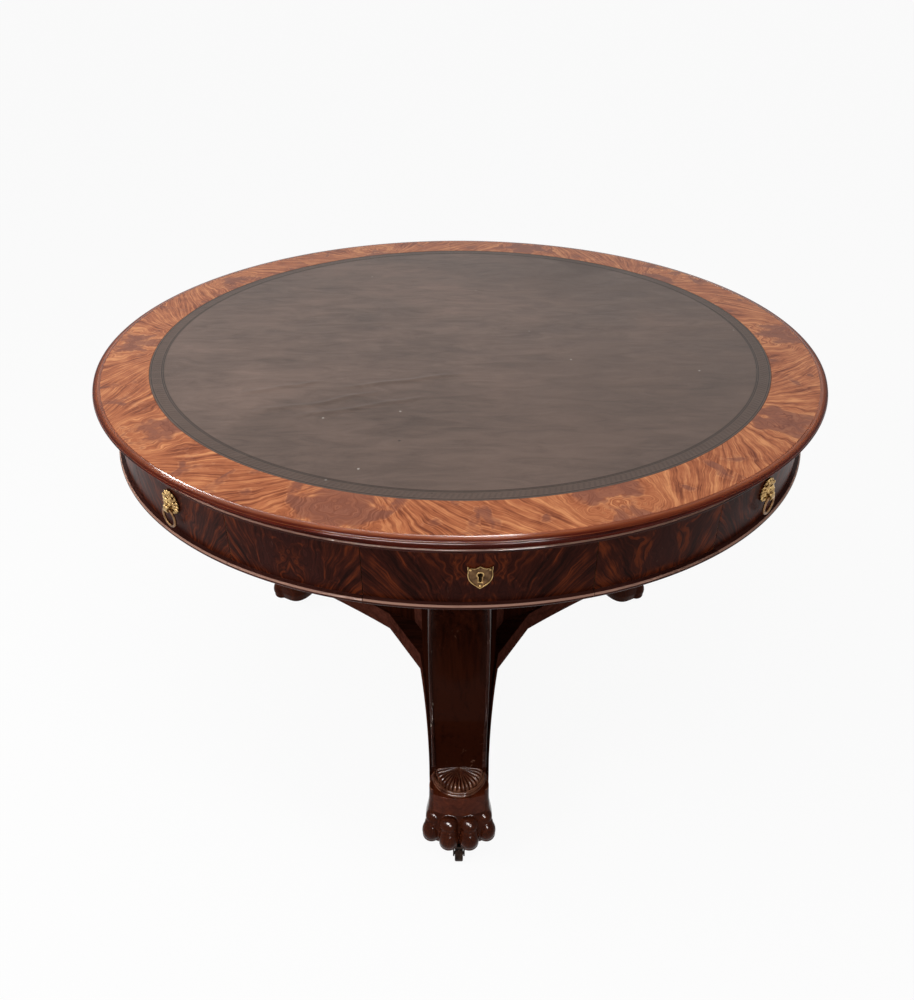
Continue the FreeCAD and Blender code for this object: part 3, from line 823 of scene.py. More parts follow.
@dataclass(frozen=True)
class CarvedMahogany:
    """Dark polished mahogany, rubbed lighter on its ridges and in patches."""

    name: str
    dark: Colour
    light: Colour
    worn: Colour
    patches: float
    wear: float = 0.0
    specular: float = 0.0
    # How much lighter the lower leg is painted than its top, which stands in the drum's painted shade.
    painted_drum_shade: float = 0.0
    grain: Wood = Wood.UPRIGHT

    def mix(self) -> Material:
        """Mixes the finish.

        Returns:
            The material.
        """
        b = Brush(bpy.data.materials.new(self.name))
        at = b.place()
        chance = b.times(b.add("ShaderNodeObjectInfo").outputs["Random"], 9.0)
        moved = (b.math("ADD", at[0], chance), at[1], at[2])
        grain = b.noise(moved, self.grain.value, 5.0, 0.65, 0.4)
        cloud = b.noise(moved, (16.0, 16.0, 10.0), 1.0)
        tone = b.lift(cloud, 0.18, b.times(grain, 0.82))
        # Painted shade: the leg is darker high up under the drum and lighter towards its foot.
        tone = b.lift(b.fade(at[2], 0.42, 0.2), self.painted_drum_shade, tone)
        colour = b.ramp(tone, (0.36, self.dark), (0.7, self.light))
        ridge = b.fade(b.add("ShaderNodeNewGeometry").outputs["Pointiness"], 0.505, 0.56)
        rubbed = b.noise(moved, (60.0, 60.0, 45.0), 3.0, 0.6)
        share = b.times(ridge, b.fade(rubbed, 0.35, 0.6), self.wear)
        colour = b.blend(share, colour, self.worn)
        scuffs = b.noise(moved, (70.0, 70.0, 26.0), 5.0, 0.75, 1.2)
        patch = b.noise(moved, (12.0, 12.0, 9.0), 2.0)
        scuffed = b.times(b.fade(scuffs, 0.58, 0.7), b.fade(patch, 0.52, 0.64))
        colour = b.blend(b.times(scuffed, self.patches), colour, self.worn)
        roughness = b.lift(scuffs, 0.1, 0.1)
        return b.surface(base_color=colour, roughness=roughness, normal=b.bump(grain, 0.00006),
                         specular_ior_level=self.specular)


@dataclass(frozen=True)
class PlainBoard:
    """Unpolished secondary wood inside the drum."""

    name: str
    dark: Colour
    light: Colour
    grain: Wood = Wood.FLAT

    def mix(self) -> Material:
        """Mixes the finish.

        Returns:
            The material.
        """
        b = Brush(bpy.data.materials.new(self.name))
        at = b.place()
        grain = b.noise(at, self.grain.value, 5.0, 0.65, 0.5)
        cloud = b.noise(at, (6.0, 6.0, 6.0), 2.0)
        tone = b.lift(cloud, 0.4, b.times(grain, 0.6))
        colour = b.ramp(tone, (0.35, self.dark), (0.65, self.light))
        return b.surface(base_color=colour, roughness=0.62, normal=b.bump(grain, 0.00012))


@dataclass(frozen=True)
class Border:
    """The pressed border of the leather, as radii, with its slanting ornament between low and high."""

    edge: float = 0.4835
    fillets: tuple[float, ...] = (0.4853, 0.4876, 0.5036)
    low: float = 0.4893
    high: float = 0.5019
    repeats: int = 416
    slant: float = 2.2

    def half_width(self) -> float:
        """Half the width of the ornament."""
        return (self.high - self.low) / 2


@dataclass(frozen=True)
class WritingLeather:
    """Old glazed hide with a tooled border."""

    name: str
    dark: Colour
    light: Colour
    tool: Colour
    border: Border = Border()

    def tooling(self, b: Brush, radius: Value, turn: Value) -> Socket:
        """How strongly the border's lines and ornament darken a point.

        Args:
            b: The brush.
            radius: The distance from the middle.
            turn: The direction from the middle.

        Returns:
            A share from 0 to 1.
        """
        low, high = self.border.low, self.border.high
        inside = b.times(b.fade(radius, low, low + 0.0008), b.fade(radius, high, high - 0.0008))
        slant = self.border.slant / self.border.half_width()
        lean = b.lift(radius, slant, b.times(turn, float(self.border.repeats)))
        dash = b.fade(b.math("SINE", lean), -0.1, 0.6)
        share = b.times(inside, dash, 0.16)
        for line in self.border.fillets:
            away = b.math("ABSOLUTE", b.math("SUBTRACT", radius, line))
            share = b.math("MAXIMUM", share, b.times(b.fade(away, 0.0008, 0.0003), 0.85))
        return share

    def mix(self) -> Material:
        """Mixes the finish.

        Returns:
            The material.
        """
        b = Brush(bpy.data.materials.new(self.name))
        x, y, z = b.place()
        radius = b.reach(x, y)
        mottle = b.noise((x, y, z), (5.0, 7.0, 1.0), 5.0, 0.6, 0.5)
        smear = b.noise((x, y, z), (11.0, 38.0, 1.0), 6.0, 0.7, 1.2)
        tone = b.lift(smear, 0.5, b.times(mottle, 0.5))
        colour = b.ramp(tone, (0.34, self.dark), (0.66, self.light))
        # Patchy darkening towards the right back of the leather.
        right_back_darkening = b.times(b.fade(x, 0.0, 0.26), b.fade(y, 0.06, 0.4), b.fade(mottle, 0.36, 0.56), 0.9)
        colour = b.blend(right_back_darkening, colour, self.dark)
        # Painted shade: the leather darkens towards the near right, where less light falls.
        far = b.fade(b.math("SUBTRACT", y, b.times(x, 0.7)), 0.1, -0.45)
        colour = b.blend(b.times(far, 0.4), colour, self.dark)
        specks = b.add("ShaderNodeTexVoronoi")
        b.feed(specks.inputs["Vector"], b.vector(x, y, 0.0))
        b.feed(specks.inputs["Scale"], 24.0)
        near = b.math("LESS_THAN", specks.outputs["Distance"], 0.04)
        pale = b.times(near, b.math("GREATER_THAN", specks.outputs["Color"], 0.58))
        colour = b.blend(b.times(pale, 0.6), colour, (0.6, 0.56, 0.5))
        pits = b.times(near, b.math("LESS_THAN", specks.outputs["Color"], 0.42))
        colour = b.blend(b.times(pits, 0.7), colour, self.tool)
        edge = b.fade(radius, self.border.edge - 0.0009, self.border.edge + 0.0003)
        colour = b.blend(b.times(edge, 0.55), colour, self.dark)
        colour = b.blend(self.tooling(b, radius, b.math("ARCTAN2", y, x)), colour, self.tool)
        grain = b.add("ShaderNodeTexVoronoi", feature="DISTANCE_TO_EDGE")
        b.feed(grain.inputs["Vector"], b.vector(x, y, z))
        b.feed(grain.inputs["Scale"], 620.0)
        pebble = b.fade(grain.outputs["Distance"], 0.0, 0.25)
        normal = b.bump(pebble, 0.00008, b.bump(smear, 0.0004))
        roughness = b.lift(mottle, 0.2, 0.36)
        return b.surface(base_color=colour, roughness=roughness, normal=normal, specular_ior_level=0.14)


@dataclass(frozen=True)
class AgedMetal:
    """Cast metal, cloudy with age and dark in its hollows."""

    name: str
    bright: Colour
    dull: Colour
    dark: Colour
    roughness: float

    def mix(self) -> Material:
        """Mixes the finish.

        Returns:
            The material.
        """
        b = Brush(bpy.data.materials.new(self.name))
        at = b.place()
        cloud = b.noise(at, (130.0, 130.0, 130.0), 4.0, 0.6)
        colour = b.ramp(cloud, (0.38, self.dull), (0.6, self.bright))
        hollow = b.fade(b.add("ShaderNodeNewGeometry").outputs["Pointiness"], 0.5, 0.44)
        colour = b.blend(hollow, colour, self.dark)
        fine = b.noise(at, (900.0, 900.0, 900.0), 3.0)
        roughness = b.lift(cloud, 0.22, self.roughness)
        return b.surface(base_color=colour, metallic=1.0, roughness=roughness, normal=b.bump(fine, 0.00004))


Finish = Union[FlameVeneer, RunningGrain, CarvedMahogany, PlainBoard, WritingLeather, AgedMetal]


def mixed(finish: Finish) -> Material:
    """A field that mixes its finish when the set is made."""
    return field(default_factory=finish.mix)


@dataclass
class Finishes:
    """Every finish of the table, mixed once."""

    # The banding and the frieze are one veneer in two copies: the banding is the lighter copy, painted as
    # the lit top.
    banding: Material = mixed(FlameVeneer(
        "banding_flame", dark=(0.165, 0.038, 0.015), middle=(0.44, 0.135, 0.054), light=(0.72, 0.3, 0.125),
        haze=(0.27, 0.105, 0.068), leaf_width=0.17, lines=17.0, scuffs=0.3, specular=0.08))
    # Painted shade: the frieze is a far darker copy of the banding veneer, standing for the shade on the
    # upright drum.
    frieze: Material = mixed(FlameVeneer(
        "frieze_flame", dark=(0.014, 0.0032, 0.002), middle=(0.045, 0.0092, 0.005),
        light=(0.155, 0.03, 0.009), haze=(0.046, 0.0112, 0.0082), leaf_width=0.14, lines=9.0,
        scuffs=0.12, specular=0.03))
    # Painted shade: the edge moulding's shoulder darkens towards its outer rim, where it rolls over to the
    # nose.
    moulding: Material = mixed(RunningGrain(
        "edge_polish", (0.14, 0.028, 0.009), (0.33, 0.08, 0.026), specular=0.03, roughness=0.14,
        crown=(0.075, 0.009, 0.003), painted_crown_radius=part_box("crossbanding")[1].x + 0.0108, painted_crown_fade=0.005))
    # Painted shade: the nose is a darker copy of the edge polish, standing for the shade on the moulding's
    # downward face.
    nose: Material = mixed(RunningGrain(
        "nose_polish", (0.02, 0.0018, 0.0008), (0.12, 0.012, 0.003), specular=0.03, roughness=0.16))
    arris: Material = mixed(RunningGrain(
        "arris_polish", (0.16, 0.035, 0.013), (0.36, 0.1, 0.038), specular=0.12, roughness=0.1))
    # Painted highlight: the bead's upward faces along its top are painted pale.
    bead: Material = mixed(RunningGrain(
        "bead_polish", (0.022, 0.006, 0.0045), (0.075, 0.024, 0.018), specular=0.03, roughness=0.14,
        crown=(0.42, 0.23, 0.17), painted_crown_radius=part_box("upper_bead")[1].x + 0.0002))
    leather: Material = mixed(WritingLeather(
        "writing_hide", (0.088, 0.06, 0.048), (0.218, 0.15, 0.122), tool=(0.012, 0.012, 0.01)))
    pine: Material = mixed(PlainBoard("carcase_pine", (0.16, 0.09, 0.045), (0.33, 0.2, 0.1)))
    oak: Material = mixed(PlainBoard("drawer_oak", (0.24, 0.145, 0.07), (0.42, 0.28, 0.15)))
    brass: Material = mixed(AgedMetal(
        "aged_brass", (0.6, 0.4, 0.17), (0.3, 0.185, 0.08), (0.04, 0.022, 0.01), roughness=0.16))
    old_brass: Material = mixed(AgedMetal(
        "old_brass", (0.28, 0.155, 0.075), (0.13, 0.066, 0.03), (0.025, 0.014, 0.008), roughness=0.28))
    steel: Material = mixed(AgedMetal(
        "plain_steel", (0.5, 0.5, 0.5), (0.32, 0.31, 0.3), (0.1, 0.09, 0.08), roughness=0.3))
    castor: Material = mixed(AgedMetal(
        "castor_brass", (0.035, 0.022, 0.016), (0.016, 0.01, 0.008), (0.006, 0.004, 0.003), roughness=0.4))
    leg: Material = mixed(CarvedMahogany(
        "leg_polish", (0.0065, 0.0016, 0.001), (0.034, 0.0072, 0.003), (0.22, 0.105, 0.07),
        patches=0.7, specular=0.02, painted_drum_shade=0.22))
    leg_side: Material = mixed(CarvedMahogany(
        "leg_side_polish", (0.0075, 0.002, 0.0012), (0.032, 0.0068, 0.0028), (0.1, 0.04, 0.025),
        patches=0.15, painted_drum_shade=0.1))
    leg_bead: Material = mixed(CarvedMahogany(
        "leg_bead_polish", (0.022, 0.008, 0.006), (0.075, 0.03, 0.023), (0.75, 0.6, 0.5),
        patches=0.9, specular=0.012))
    carving: Material = mixed(CarvedMahogany(
        "carved_polish", (0.04, 0.0086, 0.0036), (0.066, 0.0146, 0.0056), (0.42, 0.18, 0.1),
        wear=0.55, patches=0.03, specular=0.035))
    ankle: Material = mixed(CarvedMahogany(
        "ankle_polish", (0.05, 0.0092, 0.0032), (0.125, 0.025, 0.009), (0.25, 0.1, 0.06),
        patches=0.1, specular=0.03, grain=Wood.FLAT))
    # Painted shade: the platform's top is a darker copy, standing for the shade under the drum.
    platform: Material = mixed(CarvedMahogany(
        "platform_polish", (0.012, 0.0034, 0.002), (0.04, 0.01, 0.0052), (0.16, 0.07, 0.045),
        patches=0.08, grain=Wood.FLAT))
    # Painted light: the platform's sides and the upright core take a lighter copy, as lit faces.
    platform_painted_lit: Material = mixed(CarvedMahogany(
        "platform_edge_polish", (0.045, 0.0125, 0.008), (0.11, 0.032, 0.021), (0.3, 0.14, 0.1),
        patches=0.1, grain=Wood.FLAT))


# The writing top


@dataclass
class WritingTop:
    """The round top: its polished edge, the flame banding and the leather."""

    finishes: Finishes
    edge_radius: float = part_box("edge_moulding")[1].x
    board_radius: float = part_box("crossbanding")[1].x
    band_outside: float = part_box("crossbanding")[1].x + 0.006
    band_inside: float = 0.507
    leather_radius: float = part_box("leather_top")[1].x
    top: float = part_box("leather_top")[1].z
    bed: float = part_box("leather_top")[0].z
    underside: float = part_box("edge_moulding")[0].z
    nose: float = 0.7575
    undercut: float = 0.004
    leaves: int = 20
    border: Border = Border()
    ripples: tuple[tuple[float, float], ...] = ((0.00022, 7.0), (0.00008, 31.0))
    creases: tuple[tuple[tuple[float, float], ...], ...] = (
        ((-0.31, -0.285), (-0.1, -0.2)), ((-0.25, -0.3), (-0.03, -0.215)),
        ((-0.2, -0.2), (0.02, -0.14)), ((-0.34, -0.22), (-0.2, -0.17)))
    crease_height: float = 0.0013
    crease_width: float = 0.0042
    press: float = 0.00024

    def build(self) -> None:
        """Makes the edge, the banding and the leather."""
        self.build_edge()
        self.build_banding()
        self.build_leather()

    def build_edge(self) -> None:
        """The thumb moulding, rebated for the banding, with a fine quirk where they meet."""
        inside, top = self.band_outside, self.top
        quirk, shade_line = 0.0004, self.nose + 0.0018
        arris = (inside + 0.0045, top - 0.00036)
        profile = [(self.board_radius, self.underside), (self.board_radius, self.bed), (inside, self.bed),
                   (inside, top - quirk), (inside + quirk, top - quirk), (inside + 2 * quirk, top)]
        profile += bezier(((inside + 0.0012, top - 0.00004), (inside + 0.0024, top - 0.00012),
                           (inside + 0.0034, top - 0.00023), arris), 6)
        profile += bezier((arris, (inside + 0.0095, top - 0.0009),
                           (self.edge_radius - 0.0006, self.nose + 0.0036),
                           (self.edge_radius - 0.0008, self.nose + 0.0008)), 14)[1:]
        profile += oval((self.edge_radius - 0.0015, self.nose - 0.0007), (0.0015, 0.0015), 60, -60, 6)
        hollow = (self.edge_radius - self.undercut - self.board_radius, self.nose - 0.0022 - self.underside)
        profile += oval((self.edge_radius - self.undercut, self.underside), hollow, 90, 180, 14)
        draft = Draft()
        draft.add_ring(profile)
        mesh = make_mesh("edge_moulding_turned", draft)

        def skin(face: Face) -> int:
            """Glossy arris, round shoulder, or the nose painted dark as shade, by where a face lies.

            Args:
                face: The face.

            Returns:
                Its finish number.
            """
            # Faces below the shade line take the nose finish, painted dark as shade.
            if face.center.z < shade_line:
                return 2
            return 1 if math.hypot(face.center.x, face.center.y) < arris[0] + 0.0002 else 0

        paint(mesh, skin)
        finishes = [self.finishes.moulding, self.finishes.arris, self.finishes.nose]
        set_out("table_edge", mesh, finishes, "drum", ["edge_moulding"])

    def build_banding(self) -> None:
        """Matched leaves of flame veneer, each with a fine joint round it."""
        joint = 0.00015
        step = 2 * math.pi / self.leaves
        start = math.radians(-90) + DRUM_TURN
        middle = (self.band_inside + self.band_outside) / 2
        inside, outside = self.band_inside, self.band_outside
        radii = [inside, inside + joint, *spread(inside, outside, 8)[1:-1], outside - joint, outside]
        draft = Draft()
        for leaf in range(self.leaves):
            first = start + leaf * step
            turns = [first, first + joint / middle, *spread(first, first + step, 12)[1:-1],
                     first + step - joint / middle, first + step]
            rows = []
            for i, turn in enumerate(turns):
                end = i in (0, len(turns) - 1)
                row = [polar(inside, turn, self.bed)]
                for j, radius in enumerate(radii):
                    edge = end or j in (0, len(radii) - 1)
                    row.append(polar(radius, turn, self.top - (joint if edge else 0.0)))
                row.append(polar(outside, turn, self.bed))
                rows.append(row)
            draft.add_tube(rows)
        mesh = make_mesh("banding_leaves", draft)

        def leaf_place(at: Vector) -> Vector:
            """Where a point lies on its pair of leaves.

            Args:
                at: The point.

            Returns:
                Across from the joint, along the leaf and the pair's number.
            """
            turn = (math.atan2(at.y, at.x) - start) % (2 * math.pi)
            pair = int(turn / (2 * step))
            rise = (math.hypot(at.x, at.y) - inside) / (outside - inside)
            across = (turn - (2 * pair + 1) * step) * middle
            return Vector((across, rise if pair % 2 else 1.0 - rise, pair))

        mark(mesh, leaf_place)
        set_out("flame_banding", mesh, [self.finishes.banding], "drum", ["crossbanding"])

    def relief(self, at: Vector) -> float:
        """How far the leather stands above its even level.

        Args:
            at: A point of the leather.

        Returns:
            The height in metres.
        """
        rise = sum(height * noise.noise(at * fineness) for height, fineness in self.ripples)
        flat = Vector((at.x, at.y))
        for i, ends in enumerate(self.creases):
            a, b = (Vector(end) for end in ends)
            along = (flat - a).dot(b - a) / (b - a).length_squared
            bend = 0.011 * noise.noise(Vector((along * 3.1, i * 5.0, 0.0)))
            away = (b - a).normalized().cross(flat - a) - bend
            share = swell(along, 0.0, 0.25) * (1 - swell(along, 0.75, 1.0))
            rise += self.crease_height * share * math.exp(-((away / self.crease_width) ** 2))
        edge = self.border.edge
        return rise * (1 - swell(math.hypot(at.x, at.y), edge - 0.04, edge - 0.004))

    def tooling(self, radius: float, turn: float) -> float:
        """How deep the border is pressed at a point.

        Args:
            radius: The distance from the middle.
            turn: The direction from the middle.

        Returns:
            The depth in metres.
        """
        border, half_line = self.border, 0.00055
        depth = sum(max(0.0, 1 - abs(radius - line) / half_line) for line in border.fillets)
        if border.low < radius < border.high:
            height = (radius - border.low) / border.half_width() - 1
            wave = math.sin(turn * border.repeats + border.slant * height)
            depth += swell(wave, -0.1, 0.7) * (1 - swell(abs(height), 0.8, 1.0))
        return self.press * depth

    def build_leather(self) -> None:
        """The leather, with its creases and its pressed border."""
        coarse, fine, step = 520, 2080, 0.004
        draft = Draft()
        rows = []
        for radius in [step, *spread(2 * step, self.border.edge - step, 116)]:
            flat = [polar(radius, turn, 0.0) for turn in around(coarse)]
            rows.append([Vector((at.x, at.y, self.top + self.relief(at))) for at in flat])
        grid = draft.add_rows(rows, loop=True)
        draft.add_face(grid[0])
        rings = [self.border.edge, 0.4846, 0.4849, 0.4853, 0.4857, 0.4861]
        rings += [0.487, 0.4873, 0.4876, 0.4879, 0.4883]
        rings += spread(self.border.low, self.border.high, 10) + [0.5029, 0.5032, 0.5036, 0.504, 0.5043]
        rings += [self.leather_radius - 0.0007, self.leather_radius - 0.0002, self.leather_radius]
        rows = []
        for i, radius in enumerate(rings):
            drop = (0.0, 0.00015, 0.0006)[max(0, i - len(rings) + 3)]
            rows.append([polar(radius, t, self.top - drop - self.tooling(radius, t)) for t in around(fine)])
        rows.append([polar(self.leather_radius, t, self.bed) for t in around(fine)])
        ring = draft.add_rows(rows, loop=True)
        draft.add_face(ring[-1][::-1])
        each = fine // coarse
        for i in range(coarse):
            j = (i + 1) % coarse
            inner = [ring[0][(i * each + k) % fine] for k in range(each + 1)]
            draft.add_face([grid[-1][j], grid[-1][i], *inner])
        mesh = make_mesh("leather_hide", draft, sharp=70.0)
        piece = set_out("writing_leather", mesh, [self.finishes.leather], "drum",
                        ["leather_top"])


# The drum


@dataclass
class Drum:
    """The frieze with its beads, the eight drawers and the carcase inside."""

    finishes: Finishes
    radius: float = FRIEZE_RADIUS
    panel_inside: float = 0.543
    front_inside: float = 0.545
    underside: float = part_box("lower_bead")[0].z
    bead_height: float = 0.0065
    bead_reach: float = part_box("upper_bead")[1].x + 0.003
    bead_high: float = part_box("upper_bead")[0].z
    front_top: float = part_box("drawer_front_front")[1].z
    seam: float = 0.0006
    veneer: float = 0.0025
    lock_half: float = 0.1415
    ring_half: float = 0.1085
    ease: float = 0.0005

    def angles(self) -> dict[str, tuple[DrawerKind, float]]:
        """Each drawer's kind and direction, by the name of its body.

        Returns:
            The kind and the angle for every drawer.
        """
        names = ("front", "front_right", "right", "back_right", "back", "back_left", "left", "front_left")
        start = math.radians(-90) + DRUM_TURN
        return {
            name: (DrawerKind.RING if i % 2 else DrawerKind.LOCK, start + i * math.pi / 4)
            for i, name in enumerate(names)
        }

    def bead_profile(self, inside: float, low: float) -> Profile:
        """The half-round bead's section, from its back round its nose.

        Args:
            inside: The radius of its back.
            low: Its lower edge.

        Returns:
            The closed section as radius and height.
        """
        half = self.bead_height / 2
        nose = oval((self.bead_reach - half, low + half), (half, half), -90, 90, 12)
        return [(inside, low), *nose, (inside, low + self.bead_height)]

    def add_bowed(self, draft: Draft, profile: Profile, first: tuple[float, float],
                  last: tuple[float, float], skin: int = 0) -> None:
        """Adds a length of frieze whose ends lie on drawer sides.

        Args:
            draft: The draft that it is added to.
            profile: Its closed section as radius and height.
            first: A drawer's angle, and how far from its middle plane the start lies.
            last: The same for the end.
            skin: The finish number.
        """
        rows = []
        for share in spread(0.0, 1.0, 44):
            row = []
            for radius, z in profile:
                start = first[0] + math.asin(first[1] / radius)
                end = last[0] + math.asin(last[1] / radius)
                row.append(polar(radius, start + (end - start) * share, z))
            rows.append(row)
        draft.add_tube(rows, skin)

    def panel_profile(self, inside: float, high: float) -> Profile:
        """The plain section of a panel above the lower bead."""
        low = self.underside + self.bead_height
        return [(inside, low), (self.radius, low), (self.radius, high), (inside, high)]

    def face_skin(self, face: Face) -> int:
        """Which finish a face of a panel takes: veneer, or plain wood behind."""
        at = face.center
        return 0 if math.hypot(at.x, at.y) > self.radius - self.veneer else 2

    def build(self) -> None:
        """Makes the fixed frieze, the drawer fronts and the finish of the carcase."""
        self.build_fixed()
        self.build_fronts()
        self.dress()

    def build_fixed(self) -> None:
        """The upper bead, and the fixed panels with their lengths of lower bead."""
        draft = Draft()
        draft.add_ring(self.bead_profile(self.panel_inside, self.bead_high))
        mesh = make_mesh("upper_bead_turned", draft)
        set_out("frieze_upper_bead", mesh, [self.finishes.bead], "drum", ["upper_bead"])
        panels, beads = Draft(), Draft()
        centres = []
        for kind, angle in self.angles().values():
            if kind is DrawerKind.RING:
                continue
            lock, ring = self.lock_half + self.seam, self.ring_half + self.seam
            step = math.pi / 4
            for ends in (((angle, lock), (angle + step, -ring)), ((angle - step, ring), (angle, -lock))):
                self.add_bowed(panels, self.panel_profile(self.panel_inside, self.bead_high), *ends)
                self.add_bowed(beads, self.bead_profile(self.panel_inside, self.underside), *ends)
                sides = [base + math.asin(off / self.radius) for base, off in ends]
                centres.append(sum(sides) / 2)
        mesh = make_mesh("fixed_panels", panels, self.ease)
        paint(mesh, self.face_skin)
        mark(mesh, lambda at: self.leaf_place(at, centres))
        set_out("frieze_fixed_panels", mesh, [self.finishes.frieze, self.finishes.bead, self.finishes.pine],
                "drum", ["frieze_panels"])
        mesh = make_mesh("fixed_beads", beads)
        set_out("frieze_lower_bead", mesh, [self.finishes.bead], "drum", ["lower_bead"])

    def leaf_place(self, at: Vector, centres: Sequence[float]) -> Vector:
        """Where a point lies on its pair of frieze leaves.

        Args:
            at: The point.
            centres: The angles of the pairs' joints.

        Returns:
            Across from the joint, up the leaf and the leaf's number.
        """
        turn = math.atan2(at.y, at.x)
        gaps = [(turn - centre + math.pi) % (2 * math.pi) - math.pi for centre in centres]
        pair = min(range(len(gaps)), key=lambda i: abs(gaps[i]))
        low = self.underside + self.bead_height
        return Vector((gaps[pair] * self.radius, (at.z - low) / (self.bead_high - low), pair + 0.5))

    def front_mesh(self, kind: DrawerKind) -> Mesh:
        """A drawer front with its length of bead, pierced when it has a lock.

        Args:
            kind: What the front carries.

        Returns:
            The mesh, made towards +X.
        """
        half = self.lock_half if kind is DrawerKind.LOCK else self.ring_half
        draft = Draft()
        ends = ((0.0, -half), (0.0, half))
        self.add_bowed(draft, self.panel_profile(self.front_inside, self.front_top), *ends)
        mesh = make_mesh(f"{kind.value}_front", draft, self.ease)
        if kind is DrawerKind.LOCK:
            mesh = combined(mesh, Lock(self.finishes).cutter(), Fusion.CUT)
        paint(mesh, self.face_skin)
        bead = Draft()
        self.add_bowed(bead, self.bead_profile(self.front_inside, self.underside), *ends, skin=1)
        mesh = joined(mesh, make_mesh("front_bead", bead))
        mark(mesh, lambda at: self.leaf_place(at, [0.0]))
        return mesh

    def build_fronts(self) -> None:
        """The eight drawer fronts."""
        meshes = {kind: self.front_mesh(kind) for kind in DrawerKind}
        skins = [self.finishes.frieze, self.finishes.bead, self.finishes.oak]
        for name, (kind, angle) in self.angles().items():
            set_out(f"front_{name}", meshes[kind], skins, f"drawer_{name}",
                    [f"drawer_front_{name}"], angle)

    def dress(self) -> None:
        """Finishes the carcase and the drawer boxes."""
        for node in ("top_board", "drum_floor", "drum_pillar", "carcase_ribs", "drawer_guides"):
            dress_node(node, self.finishes.pine)
        dress_node("pivot_bush", self.finishes.steel)
        for name in self.angles():
            dress_node(f"drawer_box_{name}", self.finishes.oak)


# Brass work


